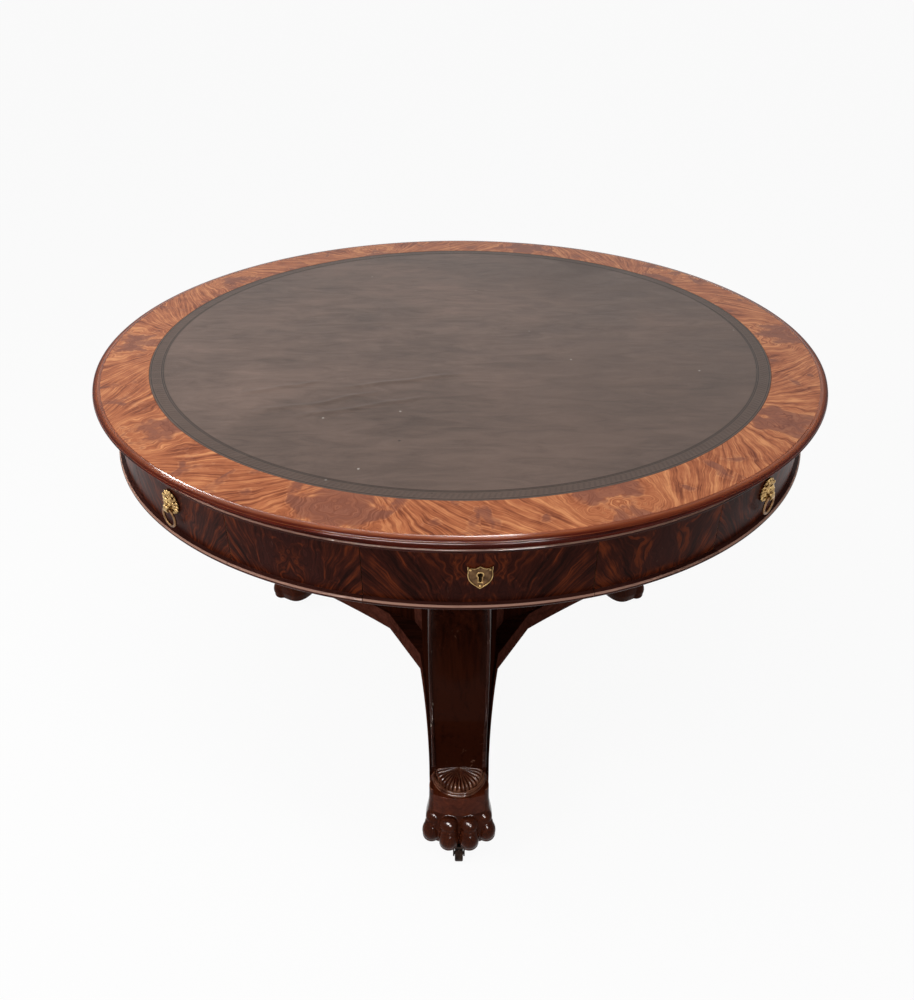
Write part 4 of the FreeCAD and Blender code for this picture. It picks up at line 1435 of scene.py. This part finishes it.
@dataclass
class Lock:
    """The shield round a keyhole and the lock case behind it."""

    finishes: Finishes
    radius: float = FRIEZE_RADIUS
    middle: float = 0.6922
    width: float = 0.031
    height: float = 0.034
    thickness: float = 0.0024
    scoop: float = 0.0035
    shoulder: float = 0.012
    eye: float = 0.003
    slot: float = 0.0032
    key_height: float = 0.013
    case_back: float = 0.539
    case_face: float = 0.551
    case_half: float = 0.032
    case_low: float = 0.672
    case_high: float = 0.7124
    pins: tuple[tuple[float, float], ...] = ((-0.0118, 0.0112), (0.0118, 0.0112), (0.0, -0.0128))
    pin_head: tuple[float, float, float] = (0.0013, 0.0017, 0.0017)
    screw_head: tuple[float, float, float] = (0.0012, 0.0032, 0.0032)
    screw_inset: float = 0.006

    def keyhole(self, grow: float) -> Profile:
        """The keyhole's outline as across and up, made larger by a margin.

        Args:
            grow: The margin.

        Returns:
            The closed outline.
        """
        top = self.middle + self.key_height / 2
        centre = top - self.eye
        radius, half = self.eye + grow, self.slot / 2 + grow
        open_angle = math.degrees(math.asin(half / radius))
        eye = oval((0.0, centre), (radius, radius), -90 + open_angle, 270 - open_angle, 24)
        low = top - self.key_height - grow
        return [*eye, (-half, low), (half, low)]

    def outline(self) -> Profile:
        """The shield's outline, with its two scooped shoulders.

        Returns:
            The closed outline as across and up.
        """
        half = self.width / 2
        top, foot = self.middle + self.height / 2, self.middle - self.height / 2
        shoulder = top - self.shoulder
        head = [(start + half * t, top - self.scoop * math.sin(math.pi * t))
                for start in (-half, 0.0) for t in spread(0.0, 1.0, 10)[:-1]]
        side = [(half, top - 0.3 * self.shoulder), (half - 0.0006, top - 0.6 * self.shoulder)]
        side += bezier(((half, shoulder), (half, shoulder - 0.012), (half / 2, foot + 0.006),
                        (0.0, foot)), 14)
        return [*head, (half, top), *side, *((-x, z) for x, z in reversed(side[:-1]))]

    def case_corners(self, inset: float) -> Profile:
        """The lock case's corners as across and up, drawn in by a margin."""
        half, low, high = self.case_half - inset, self.case_low + inset, self.case_high - inset
        return [(-half, low), (half, low), (half, high), (-half, high)]

    def cutter(self) -> Mesh:
        """The keyhole and the lock's bed, to be cut out of a front.

        Returns:
            The closed mesh, made towards +X.
        """
        draft = Draft()
        behind, before, play = 0.5, 0.6, 0.001
        draft.add_tube([[Vector((x, y, z)) for y, z in self.keyhole(play)] for x in (behind, before)])
        mesh = make_mesh("cutter", draft)
        bed = Draft()
        corners = self.case_corners(0.0)
        bed.add_tube([[Vector((x, y, z)) for y, z in corners] for x in (behind, self.case_face)])
        return combined(mesh, make_mesh("bed", bed), Fusion.FUSE)

    def on_front(self, y: float, z: float, stand: float) -> Vector:
        """A point at some height above the bowed front."""
        return Vector((math.sqrt(self.radius ** 2 - y * y) + stand, y, z))

    def mesh(self) -> Mesh:
        """The shield with its raised rim, keyhole bead and pins, and the case.

        Returns:
            The mesh, made towards +X.
        """
        draft = Draft()
        centre = Vector((0.0, self.middle + self.key_height / 2 - self.eye - 0.0012))
        outline = [Vector(p) for p in self.outline()]
        rays = [(p - centre).normalized() for p in outline]
        rim, field_height = self.thickness, self.thickness * 0.6
        loops = []
        for scale, stand in ((1.0, 0.0), (1.0, rim * 0.7), (0.985, rim * 0.93), (0.955, rim),
                             (0.925, rim * 0.93), (0.9, field_height), (0.8, field_height)):
            loops.append([(centre + (p - centre) * scale, stand) for p in outline])
        for grow, stand in ((0.0021, field_height), (0.0016, rim * 0.95), (0.0009, rim * 1.1),
                            (0.0003, rim * 0.95), (0.0, rim * 0.6), (0.0, 0.0)):
            hole = self.keyhole(grow)
            loops.append([(centre + ray * reach_to(hole, centre, ray), stand) for ray in rays])
        rows = [[self.on_front(p.x, p.y, stand) for p, stand in loop] for loop in loops]
        for near, far, skin in zip(rows, rows[1:] + rows[:1], (0, 0, 0, 0, 0, 1, 1, 0, 0, 0, 0, 1, 1)):
            draft.add_rows([near, far], skin, loop=True)
        for y, z in self.pins:
            draft.add_ball(self.on_front(y, self.middle + z, field_height), self.pin_head)
        back, face = self.case_back, self.case_face
        rows = []
        for x, inset in ((back, 0.001), (back + 0.001, 0.0), (face - 0.0005, 0.0), (face, 0.0005)):
            rows.append([Vector((x, y, z)) for y, z in self.case_corners(inset)])
        draft.add_tube(rows, skin=1)
        for y, z in self.case_corners(self.screw_inset):
            draft.add_ball((back, y, z), self.screw_head, skin=1)
        return make_mesh("shield_and_case", draft, sharp=40.0)

    def build(self, names: Sequence[tuple[str, float]]) -> None:
        """Sets a lock on each drawer.

        Args:
            names: Each drawer's name and direction.
        """
        mesh = self.mesh()
        for name, angle in names:
            set_out(f"shield_{name}", mesh, [self.finishes.brass, self.finishes.old_brass], f"drawer_{name}",
                    [f"lock_{name}"], angle)


@dataclass
class LionMask:
    """A cast lion's face with a mane of locks, holding a ring in its mouth."""

    finishes: Finishes
    seat: float = FRIEZE_RADIUS
    middle: float = 0.7012
    mouth: float = 0.6932
    mouth_reach: float = 0.5735
    bore: float = 0.0026
    jaw_width: float = 0.0086
    jaw_radius: float = 0.0047
    grain: float = 0.00036

    def ball(self, draft: Draft, out: float, across: float, up: float, radii: tuple[float, float, float],
             roll: float = 0.0) -> None:
        """Adds a rounded form, measured in millimetres from the mask's middle.

        Args:
            draft: The draft that it is added to.
            out: How far it stands off the front.
            across: How far it lies to the side.
            up: How far it lies above the middle.
            radii: Its half sizes outward, across and up.
            roll: How far it is rolled about the outward line, in radians.
        """
        at = (self.seat + out / 1000, across / 1000, self.middle + up / 1000)
        draft.add_ball(at, [r / 1000 for r in radii], Matrix.Rotation(roll, 3, "X"))

    def locks(self, draft: Draft) -> None:
        """Two rings of mane locks, the inner one open below the mouth where the ring hangs.

        Args:
            draft: The draft that they are added to.
        """
        for i in range(16):
            turn = 2 * math.pi * (i + 0.5) / 16
            across, up = math.cos(turn), math.sin(turn)
            self.ball(draft, 2.0, 14.3 * across, 14.3 * up, (2.4, 2.7, 4.0), turn - math.pi / 2 + 0.35)
        for i in range(13):
            turn = math.radians(-32 + 244 * i / 12)
            across, up = math.cos(turn), math.sin(turn)
            self.ball(draft, 4.2, 10.6 * across, 10.6 * up + 1.2, (2.3, 2.0, 3.4), turn - math.pi / 2 - 0.4)

    def face(self, draft: Draft) -> None:
        """The head: brow, eyes, nose, muzzle, jaw and ears.

        Args:
            draft: The draft that it is added to.
        """
        for out, up, radii in (
            (0.5, 0.0, (3.0, 16.0, 16.0)), (3.0, 2.5, (6.6, 8.2, 9.2)), (7.2, 6.6, (3.0, 5.0, 3.4)),
            (8.4, -0.6, (3.2, 2.0, 3.4)), (9.6, 2.6, (2.4, 1.5, 4.2)), (11.4, -1.6, (1.8, 2.5, 1.6)),
            (7.4, -11.6, (3.6, 3.9, 2.6)), (4.6, -13.4, (2.6, 4.0, 3.2)),
        ):
            self.ball(draft, out, 0.0, up, radii)
        for out, across, up, radii, roll in (
            (8.9, 3.6, 4.6, (1.7, 2.7, 1.0), -0.35), (8.4, 3.5, 2.5, (1.4, 1.5, 1.1), 0.0),
            (6.6, 5.6, 0.2, (2.6, 2.6, 2.6), 0.0), (9.2, 2.9, -3.6, (3.4, 3.0, 2.6), 0.0),
            (5.4, 8.6, 10.0, (2.2, 2.4, 3.0), -0.5),
        ):
            for side in (-1, 1):
                self.ball(draft, out, side * across, up, radii, side * roll)
        left = Vector((self.mouth_reach, -self.jaw_width / 2, self.mouth))
        draft.add_rod(left, SIDEWAYS * self.jaw_width, self.jaw_radius, 32)

    def mesh(self) -> Mesh:
        """The cast face, with its back on the bowed front and its mouth bored.

        Returns:
            The mesh, made towards +X.
        """
        draft = Draft()
        self.face(draft)
        self.locks(draft)
        mesh = melted(make_mesh("lion_cast", draft), self.grain, 2)
        length = 0.06
        low = Vector((0.0, 0.0, self.middle - length / 2))
        mesh = combined(mesh, round_bar(low, UPWARD * length, self.seat, 720), Fusion.CUT)
        left = Vector((self.mouth_reach, -length / 2, self.mouth))
        return combined(mesh, round_bar(left, SIDEWAYS * length, self.bore), Fusion.CUT)

    def build(self, names: Sequence[tuple[str, float]]) -> None:
        """Sets a mask on each drawer and finishes its ring.

        Args:
            names: Each drawer's name and direction.
        """
        mesh = self.mesh()
        for name, angle in names:
            set_out(f"mask_{name}", mesh, [self.finishes.brass], f"drawer_{name}",
                    [f"lion_mask_{name}"], angle)
            dress_node(f"pull_ring_{name}", self.finishes.old_brass)


# The base


@dataclass
class Leg:
    """A console leg with a bead along each front edge."""

    finishes: Finishes
    root: float = 0.065
    hub: float = 0.125
    plan_end: float = 0.446
    toe: float = ARM_END
    sweep_start: float = 0.372
    sweep_top: float = 0.172
    waist: float = 0.293
    waist_height: float = 0.291
    crown: float = 0.44
    root_half: float = 0.071
    hub_half: float = 0.072
    middle_half: float = 0.0535
    end_half: float = 0.044
    foot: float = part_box("leg_front")[0].z
    head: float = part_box("leg_front")[1].z
    bead_width: float = 0.006
    bead_stand: float = 0.0032
    bead_sink: float = 0.0006

    def half(self, x: float) -> float:
        """Half the leg's width at some distance from the table's middle.

        Args:
            x: The distance.

        Returns:
            Half the width, from a curve through three sizes beyond the hub.
        """
        if x < self.hub:
            grown = (x - self.root) / (self.hub - self.root)
            return self.root_half + (self.hub_half - self.root_half) * grown
        t = (x - self.hub) / (self.plan_end - self.hub)
        shares = ((1 - t) * (1 - 2 * t), 4 * t * (1 - t), t * (2 * t - 1))
        return sum(w * h for w, h in zip(shares, (self.hub_half, self.middle_half, self.end_half)))

    def front(self) -> tuple[Profile, Profile]:
        """The hollow front seen from the side, below and above the waist.

        Returns:
            The points from the toe to the waist, and from the waist to the crown.
        """
        start, waist = (self.sweep_start, self.sweep_top), (self.waist, self.waist_height)
        lower = [(x, self.sweep_top) for x in spread(self.toe, self.sweep_start, 5)]
        lower += bezier((start, (0.315, self.sweep_top), (self.waist, 0.214), waist), 24)[1:]
        upper = bezier((waist, (self.waist, 0.421), (0.361, 0.495), (self.crown, self.head)), 40)
        return lower, upper

    def leg_mesh(self) -> Mesh:
        """The solid leg: hollow front, curved cheeks and flat ends.

        Returns:
            The mesh, made towards +X.
        """
        lower, upper = self.front()
        draft = Draft()

        def at(x: float, z: float, side: int) -> Vector:
            """A point on one cheek."""
            return Vector((x, side * self.half(x), z))

        columns = spread(self.root, self.waist, 12)
        for side in (-1, 1):
            rows = [[at(x, z, side) for x in columns] for z in (self.foot, self.waist_height, self.head)]
            draft.add_rows(rows)
            draft.add_rows([[at(x, z, side) for x, z in lower], [at(x, self.foot, side) for x, _ in lower]])
            draft.add_rows([[at(x, z, side) for x, z in upper], [at(x, self.head, side) for x, _ in upper]])
        path = lower + upper[1:]
        draft.add_rows([[at(x, z, -1).lerp(at(x, z, 1), t) for t in spread(0.0, 1.0, 8)] for x, z in path])
        edges = [(x, self.foot) for x in columns] + [(x, self.foot) for x, _ in reversed(lower[:-1])]
        tops = [(x, self.head) for x in columns] + [(x, self.head) for x, _ in upper[1:]]
        for flat in (edges, tops):
            draft.add_rows([[at(x, z, -1), at(x, z, 1)] for x, z in flat])
        for end in (((self.toe, self.foot), (self.toe, self.sweep_top)),
                    ((self.root, self.foot), (self.root, self.waist_height), (self.root, self.head))):
            draft.add_rows([[at(x, z, -1), at(x, z, 1)] for x, z in end])
        return make_mesh("console_leg", draft)

    def bead_mesh(self) -> Mesh:
        """The two half-round beads that follow the front edges.

        Returns:
            The mesh, made towards +X.
        """
        lower, upper = self.front()
        path = [Vector(p) for p in lower + upper[1:]]
        draft = Draft()
        half_bead = self.bead_width / 2
        for side in (-1, 1):
            rows = []
            for i, at in enumerate(path):
                ahead = (path[min(i + 1, len(path) - 1)] - path[max(i - 1, 0)]).normalized()
                out = Vector((ahead.y, -ahead.x))
                out = out if out.y > 0 or out.x > 0 else -out
                row = []
                for turn in (None, *spread(0.0, math.pi, 10), None):
                    if turn is None:
                        lift, over = -self.bead_sink, half_bead * (1 if not row else -1)
                    else:
                        lift, over = self.bead_stand * math.sin(turn), half_bead * math.cos(turn)
                    spot = at + out * lift
                    row.append(Vector((spot.x, side * (self.half(at.x) - half_bead + over), spot.y)))
                rows.append(row)
            draft.add_tube(rows)
        return make_mesh("leg_bead_pair", draft, sharp=60.0)

    def build(self) -> None:
        """Sets out the three legs and their beads."""
        leg, beads = self.leg_mesh(), self.bead_mesh()
        paint(leg, lambda face: 1 if abs(face.normal.y) > 0.5 else 0)
        for name, angle in LEG_ANGLES.items():
            set_out(f"console_leg_{name}", leg, [self.finishes.leg, self.finishes.leg_side], "base",
                    [f"leg_{name}"], angle)
            set_out(f"bead_pair_{name}", beads, [self.finishes.leg_bead], "base",
                    ["leg_beads"], angle)


@dataclass
class Platform:
    """The three-armed platform and the upright middle above it."""

    finishes: Finishes
    underside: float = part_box("platform")[0].z
    top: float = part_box("platform")[1].z
    hub: float = 0.125
    hub_half: float = 0.078
    arm_end: float = ARM_END
    end_half: float = 0.05
    hollow: float = 0.0045
    ease: float = 0.0014

    def outline(self) -> list[Vector]:
        """The plan of the three arms with their slightly hollow sides.

        Returns:
            The points in order.
        """
        points = []
        for angle in LEG_ANGLES.values():
            sides = []
            for t in spread(0.0, 1.0, 24):
                x = self.hub + (self.arm_end - self.hub) * t
                half = self.hub_half + (self.end_half - self.hub_half) * t - 4 * self.hollow * t * (1 - t)
                sides.append((x, half))
            turn = Matrix.Rotation(angle, 3, "Z")
            points += [turn @ Vector((x, -half, 0.0)) for x, half in sides]
            points += [turn @ Vector((x, half, 0.0)) for x, half in reversed(sides)]
        return points

    def build(self) -> None:
        """Makes the platform and finishes the pieces between the legs."""
        outline = self.outline()
        draft = Draft()
        draft.add_tube([[p + Vector((0.0, 0.0, z)) for p in outline] for z in (self.underside, self.top)])
        mesh = make_mesh("arm_platform", draft, self.ease)
        # Upright faces take the lighter copy painted as lit faces; the top takes the darker copy painted as
        # shade.
        paint(mesh, lambda face: 1 if abs(face.normal.z) < 0.5 else 0)
        finishes = [self.finishes.platform, self.finishes.platform_painted_lit]
        set_out("three_arm_platform", mesh, finishes, "base", ["platform"])
        # The upright core takes the lighter copy painted as lit faces.
        dress_node("pedestal_core", self.finishes.platform_painted_lit)
        dress_node("bearer", self.finishes.leg_side)
        dress_node("pivot_spindle", self.finishes.steel)
        dress_node("turntable_ring", self.finishes.oak)


@dataclass
class Foot:
    """A lion's paw that flares from a bowed ankle, with a fluted shell above."""

    finishes: Finishes
    arm_end: float = ARM_END
    panel_half: float = 0.0428
    panel_corner: float = 0.4555
    panel_bow: float = 0.465
    panel_low: float = 0.107
    ankle_top: float = 0.151
    paw_x: float = 0.435
    squareness: float = 0.66
    castor_x: float = 0.461
    socket: float = 0.0084
    pin_top: float = 0.065
    shell_radius: float = 0.0392
    rim_radius: float = 0.0405
    shell_top: float = 0.172
    shell_fall: float = 0.005
    crest: float = 0.0006
    ribs: int = 17
    rib_share: float = 0.045
    flute_depth: float = 0.0034
    lip_start: float = 0.78
    lip_fall: float = 0.0062
    grain: float = 0.001

    def panel_plan(self, inset: float) -> Profile:
        """The plan of the ankle's raised front: straight ends and a bowed face.

        Args:
            inset: How far it is drawn in all round.

        Returns:
            The closed outline.
        """
        half, corner, bow = self.panel_half - inset, self.panel_corner - inset, self.panel_bow - inset
        front = [(corner + (bow - corner) * (1 - t * t), half * t) for t in spread(-1.0, 1.0, 24)]
        return [(self.arm_end, -half), *front, (self.arm_end, half)]

    def ankle_mesh(self) -> Mesh:
        """The raised front of the ankle, with a small cove under its lower edge.

        Returns:
            The mesh, made towards +X.
        """
        draft = Draft()
        rows = []
        for inset, z in ((0.006, self.panel_low - 0.006), (0.004, self.panel_low - 0.003),
                         (0.0015, self.panel_low - 0.0006), (0.0, self.panel_low), (0.0, self.ankle_top)):
            rows.append([Vector((x, y, z)) for x, y in self.panel_plan(inset)])
        draft.add_tube(rows)
        return make_mesh("ankle_front", draft, 0.0007)

    def toes(self, draft: Draft) -> None:
        """Four toes, each a knuckle, a waist, a long joint and a blunt tip.

        Args:
            draft: The draft that they are added to.
        """
        for side in (-1, 1):
            for x, y, lean, wide, inward in ((0.0, 0.0171, 0.08, 1.0, 0.0),
                                             (-0.0175, 0.0462, 0.5, 0.96, -0.005)):
                turn = Matrix.Rotation(side * lean, 3, "Z")
                for dx, dy, z, radii, tilt in (
                    (0.4655, inward, 0.0865, (0.0155, 0.0157 * wide, 0.0138), 0.35),
                    (0.4705, inward / 2, 0.0745, (0.0145, 0.0152 * wide, 0.013), 0.0),
                    (0.4745, 0.0, 0.0605, (0.0165, 0.0171 * wide, 0.0226), 0.06),
                    (0.4725, 0.0, 0.0492, (0.0165, 0.0166 * wide, 0.0112), 0.0),
                ):
                    draft.add_ball((dx + x, side * (y + dy), z), radii, turn @ Matrix.Rotation(tilt, 3, "Y"))

    def paw_mesh(self) -> Mesh:
        """The carved paw with its flaring flanks, bored for the castor's socket.

        Returns:
            The mesh, made towards +X.
        """
        draft = Draft()
        rows = []
        for z, back, front, half in ((0.039, 0.034, 0.0335, 0.05), (0.044, 0.04, 0.0375, 0.0545),
                                     (0.06, 0.043, 0.0385, 0.0575), (0.075, 0.04, 0.036, 0.0565),
                                     (0.088, 0.036, 0.0305, 0.0545), (0.102, 0.03, 0.023, 0.0522),
                                     (0.12, 0.0165, 0.0185, 0.0505),
                                     (self.ankle_top - 0.0004, 0.0165, 0.017, 0.0498)):
            row = []
            for turn in around(64):
                out, across = (math.copysign(abs(share) ** self.squareness, share)
                               for share in (math.cos(turn), math.sin(turn)))
                row.append(Vector((self.paw_x + out * (front if out > 0 else back), across * half, z)))
            rows.append(row)
        draft.add_tube(rows)
        self.toes(draft)
        mesh = melted(make_mesh("paw_form", draft), self.grain, 2)
        low = Vector((self.castor_x, 0.0, 0.0))
        return combined(mesh, round_bar(low, UPWARD * self.pin_top, self.socket), Fusion.CUT)

    def shell_mesh(self) -> Mesh:
        """The fluted half shell with its moulded rim.

        Returns:
            The mesh, made towards +X.
        """
        draft = Draft()
        rows = []
        base = self.ankle_top
        for turn in spread(-math.pi / 2, math.pi / 2, self.ribs * 12):
            phase = (turn / math.pi + 0.5) * self.ribs
            rib = abs(math.sin(math.pi * phase)) ** 0.7
            reach = self.shell_radius * (1 - self.rib_share * (1 - rib))
            row = [Vector((self.arm_end, 0.0, base))]
            for share in (0.0, 0.1, 0.2, 0.35, 0.5, 0.65, 0.78, 0.86, 0.92, 0.96, 0.985, 1.0):
                z = self.shell_top - self.shell_fall * share * math.cos(turn) + self.crest
                z -= self.flute_depth * (1 - rib) * min(1.0, share * 1.6)
                tip = max(0.0, (share - self.lip_start) / (1 - self.lip_start))
                z -= self.lip_fall * (1 - math.sqrt(max(0.0, 1 - tip * tip)))
                row.append(polar(reach * share, turn, z) + Vector((self.arm_end, 0.0, 0.0)))
            last = row[-1]
            row.append(Vector((last.x, last.y, base)))
            rows.append(row)
        draft.add_tube(rows)
        inner = self.rim_radius
        profile = [(inner, base)]
        profile += oval((inner + 0.0023, base + 0.0026), (0.0032, 0.0026), -60, 90, 8)
        profile += oval((inner + 0.0013, base + 0.0072), (0.0024, 0.0021), -80, 90, 8)
        profile += [(inner, base + 0.0093)]
        draft.add_tube([
            [polar(r, a, z) + Vector((self.arm_end, 0.0, 0.0)) for r, z in profile]
            for a in spread(-math.pi / 2, math.pi / 2, 72)
        ])
        return make_mesh("fluted_shell", draft, sharp=60.0)

    def build(self) -> None:
        """Sets out the three feet and finishes their castors."""
        ankle, paw, shell = self.ankle_mesh(), self.paw_mesh(), self.shell_mesh()
        for name, angle in LEG_ANGLES.items():
            for piece, mesh, finish, node in (("ankle", ankle, self.finishes.ankle, f"foot_{name}"),
                                              ("paw", paw, self.finishes.carving, f"foot_{name}"),
                                              ("shell", shell, self.finishes.carving, "foot_shells")):
                set_out(f"{piece}_{name}", mesh, [finish], "base", [node], angle)
            dress_node(f"castor_horn_{name}", self.finishes.castor)
            dress_node(f"castor_wheel_{name}", self.finishes.castor)
        dress_node("castor_plates", self.finishes.castor)


# The studio


@dataclass(frozen=True)
class SoftBox:
    """A rectangular lamp; a glint box only shows as a highlight on the polished pieces."""

    name: str
    place: tuple[float, float, float]
    aim: tuple[float, float, float]
    size: tuple[float, float]
    radiance: float
    glint: bool = False

    def hang(self) -> None:
        """Hangs the lamp so that it faces its aim."""
        light = bpy.data.lights.new(self.name, "AREA")
        light.shape = "RECTANGLE"
        light.size, light.size_y = self.size
        light.energy = self.radiance * self.size[0] * self.size[1] * math.pi
        box = placed(self.name, light)
        box.location = self.place
        box.rotation_euler = (Vector(self.aim) - Vector(self.place)).to_track_quat("-Z", "Y").to_euler()
        if self.glint:
            box.visible_diffuse = False
            box.light_linking.receiver_collection = self.polished()
        log.info("%s: hung as a soft box", self.name)

    def polished(self) -> bpy.types.Collection:
        """The carving and mouldings that show a highlight.

        Returns:
            A collection of those pieces.
        """
        names = ("ankle_", "paw_", "shell_", "bead_pair_", "table_edge", "frieze_upper", "frieze_lower")
        found = bpy.data.collections.new(f"lit_by_{self.name}")
        for piece in bpy.context.scene.objects:
            if piece.name.startswith(names):
                found.objects.link(piece)
        return found


@dataclass
class Studio:
    """White floor, soft boxes and the camera of the photograph."""

    floor_radius: float = 90.0
    floor_glow: float = 0.93
    ambient: float = 0.34
    lens: float = 30.04
    sensor: float = 36.0
    eye: tuple[float, float, float] = (-0.003, -1.343, 1.308)
    tilt: tuple[float, float, float] = (math.radians(56.91), -0.0012, 0.0020)
    boxes: tuple[SoftBox, ...] = (
        SoftBox("key_left", (-2.1, -1.0, 2.1), (0.0, 0.0, 0.6), (1.2, 0.9), 7.2),
        SoftBox("fill_over", (-0.2, -0.8, 2.6), (-0.1, -0.6, 0.7), (1.9, 0.3), 9.0),
        SoftBox("fill_front", (-0.9, -2.5, 2.0), (0.0, -0.5, 0.5), (1.2, 0.3), 8.0),
        SoftBox("strip_over", (-0.7, 1.6, 2.6), (-1.29, 0.115, 0.7), (2.15, 0.12), 75.0, glint=True),
        SoftBox("glint_left", (-0.5, -1.7, 2.2), (0.0, -0.47, 0.1), (1.4, 0.9), 240.0, glint=True),
        SoftBox("glint_right", (0.5, -1.9, 1.3), (0.0, -0.47, 0.1), (0.4, 1.0), 220.0, glint=True),
    )

    def build(self) -> None:
        """Makes the floor, the light and the camera."""
        self.build_floor()
        self.build_world()
        for box in self.boxes:
            box.hang()
        self.build_camera()

    def build_floor(self) -> None:
        """A pale floor that looks white but keeps the table's shadow."""
        draft = Draft()
        draft.add_face(draft.add_points([polar(self.floor_radius, a, 0.0) for a in around(96)]))
        mesh = make_mesh("floor", draft)
        floor = placed("floor", mesh)
        brush = Brush(bpy.data.materials.new("floor_paper"))
        paper = brush.add("ShaderNodeBsdfDiffuse")
        brush.feed(paper.inputs["Color"], (0.9, 0.9, 0.9))
        glow = brush.add("ShaderNodeEmission")
        brush.feed(glow.inputs["Strength"], 1.0)
        both = brush.add("ShaderNodeMixShader")
        share = brush.times(self.seen(brush), self.floor_glow)
        for socket, value in zip(both.inputs, (share, paper.outputs[0], glow.outputs[0])):
            brush.feed(socket, value)
        brush.end(both)
        mesh.materials.append(brush.owner)

    def seen(self, brush: Brush) -> Socket:
        """Tells rays from the camera, straight or mirrored, from the rest.

        Args:
            brush: The brush of the floor or of the surround.

        Returns:
            1 for those rays and 0 for the rest.
        """
        path = brush.add("ShaderNodeLightPath")
        rays = [path.outputs[f"Is {kind} Ray"] for kind in ("Camera", "Glossy", "Transmission")]
        return brush.math("MAXIMUM", brush.math("MAXIMUM", rays[0], rays[1]), rays[2])

    def build_world(self) -> None:
        """A white surround that lights the table only softly."""
        sky = Brush(bpy.data.worlds.new("studio"))
        background = sky.add("ShaderNodeBackground")
        sky.feed(background.inputs["Color"], (1.0, 1.0, 1.0))
        strength = sky.lift(self.seen(sky), 1.0 - self.ambient, self.ambient)
        sky.feed(background.inputs["Strength"], strength)
        sky.end(background, "ShaderNodeOutputWorld")
        bpy.context.scene.world = sky.owner

    def build_camera(self) -> None:
        """The camera, as worked out from the photograph."""
        data = bpy.data.cameras.new("camera")
        data.lens = self.lens
        data.sensor_width = self.sensor
        camera = placed("camera", data)
        camera.location = self.eye
        camera.rotation_euler = self.tilt
        bpy.context.scene.camera = camera


def main() -> None:
    """Builds the table piece by piece, then the studio."""
    logging.basicConfig(level=logging.INFO, format="%(name)s: %(message)s")
    bpy.context.scene.view_settings.view_transform = "Standard"
    finishes = Finishes()
    WritingTop(finishes).build()
    drum = Drum(finishes)
    drum.build()
    drawers = drum.angles().items()
    Lock(finishes).build([(name, angle) for name, (kind, angle) in drawers if kind is DrawerKind.LOCK])
    LionMask(finishes).build([(name, angle) for name, (kind, angle) in drawers if kind is DrawerKind.RING])
    Leg(finishes).build()
    Platform(finishes).build()
    Foot(finishes).build()
    Studio().build()


if __name__ == "__main__":
    main()
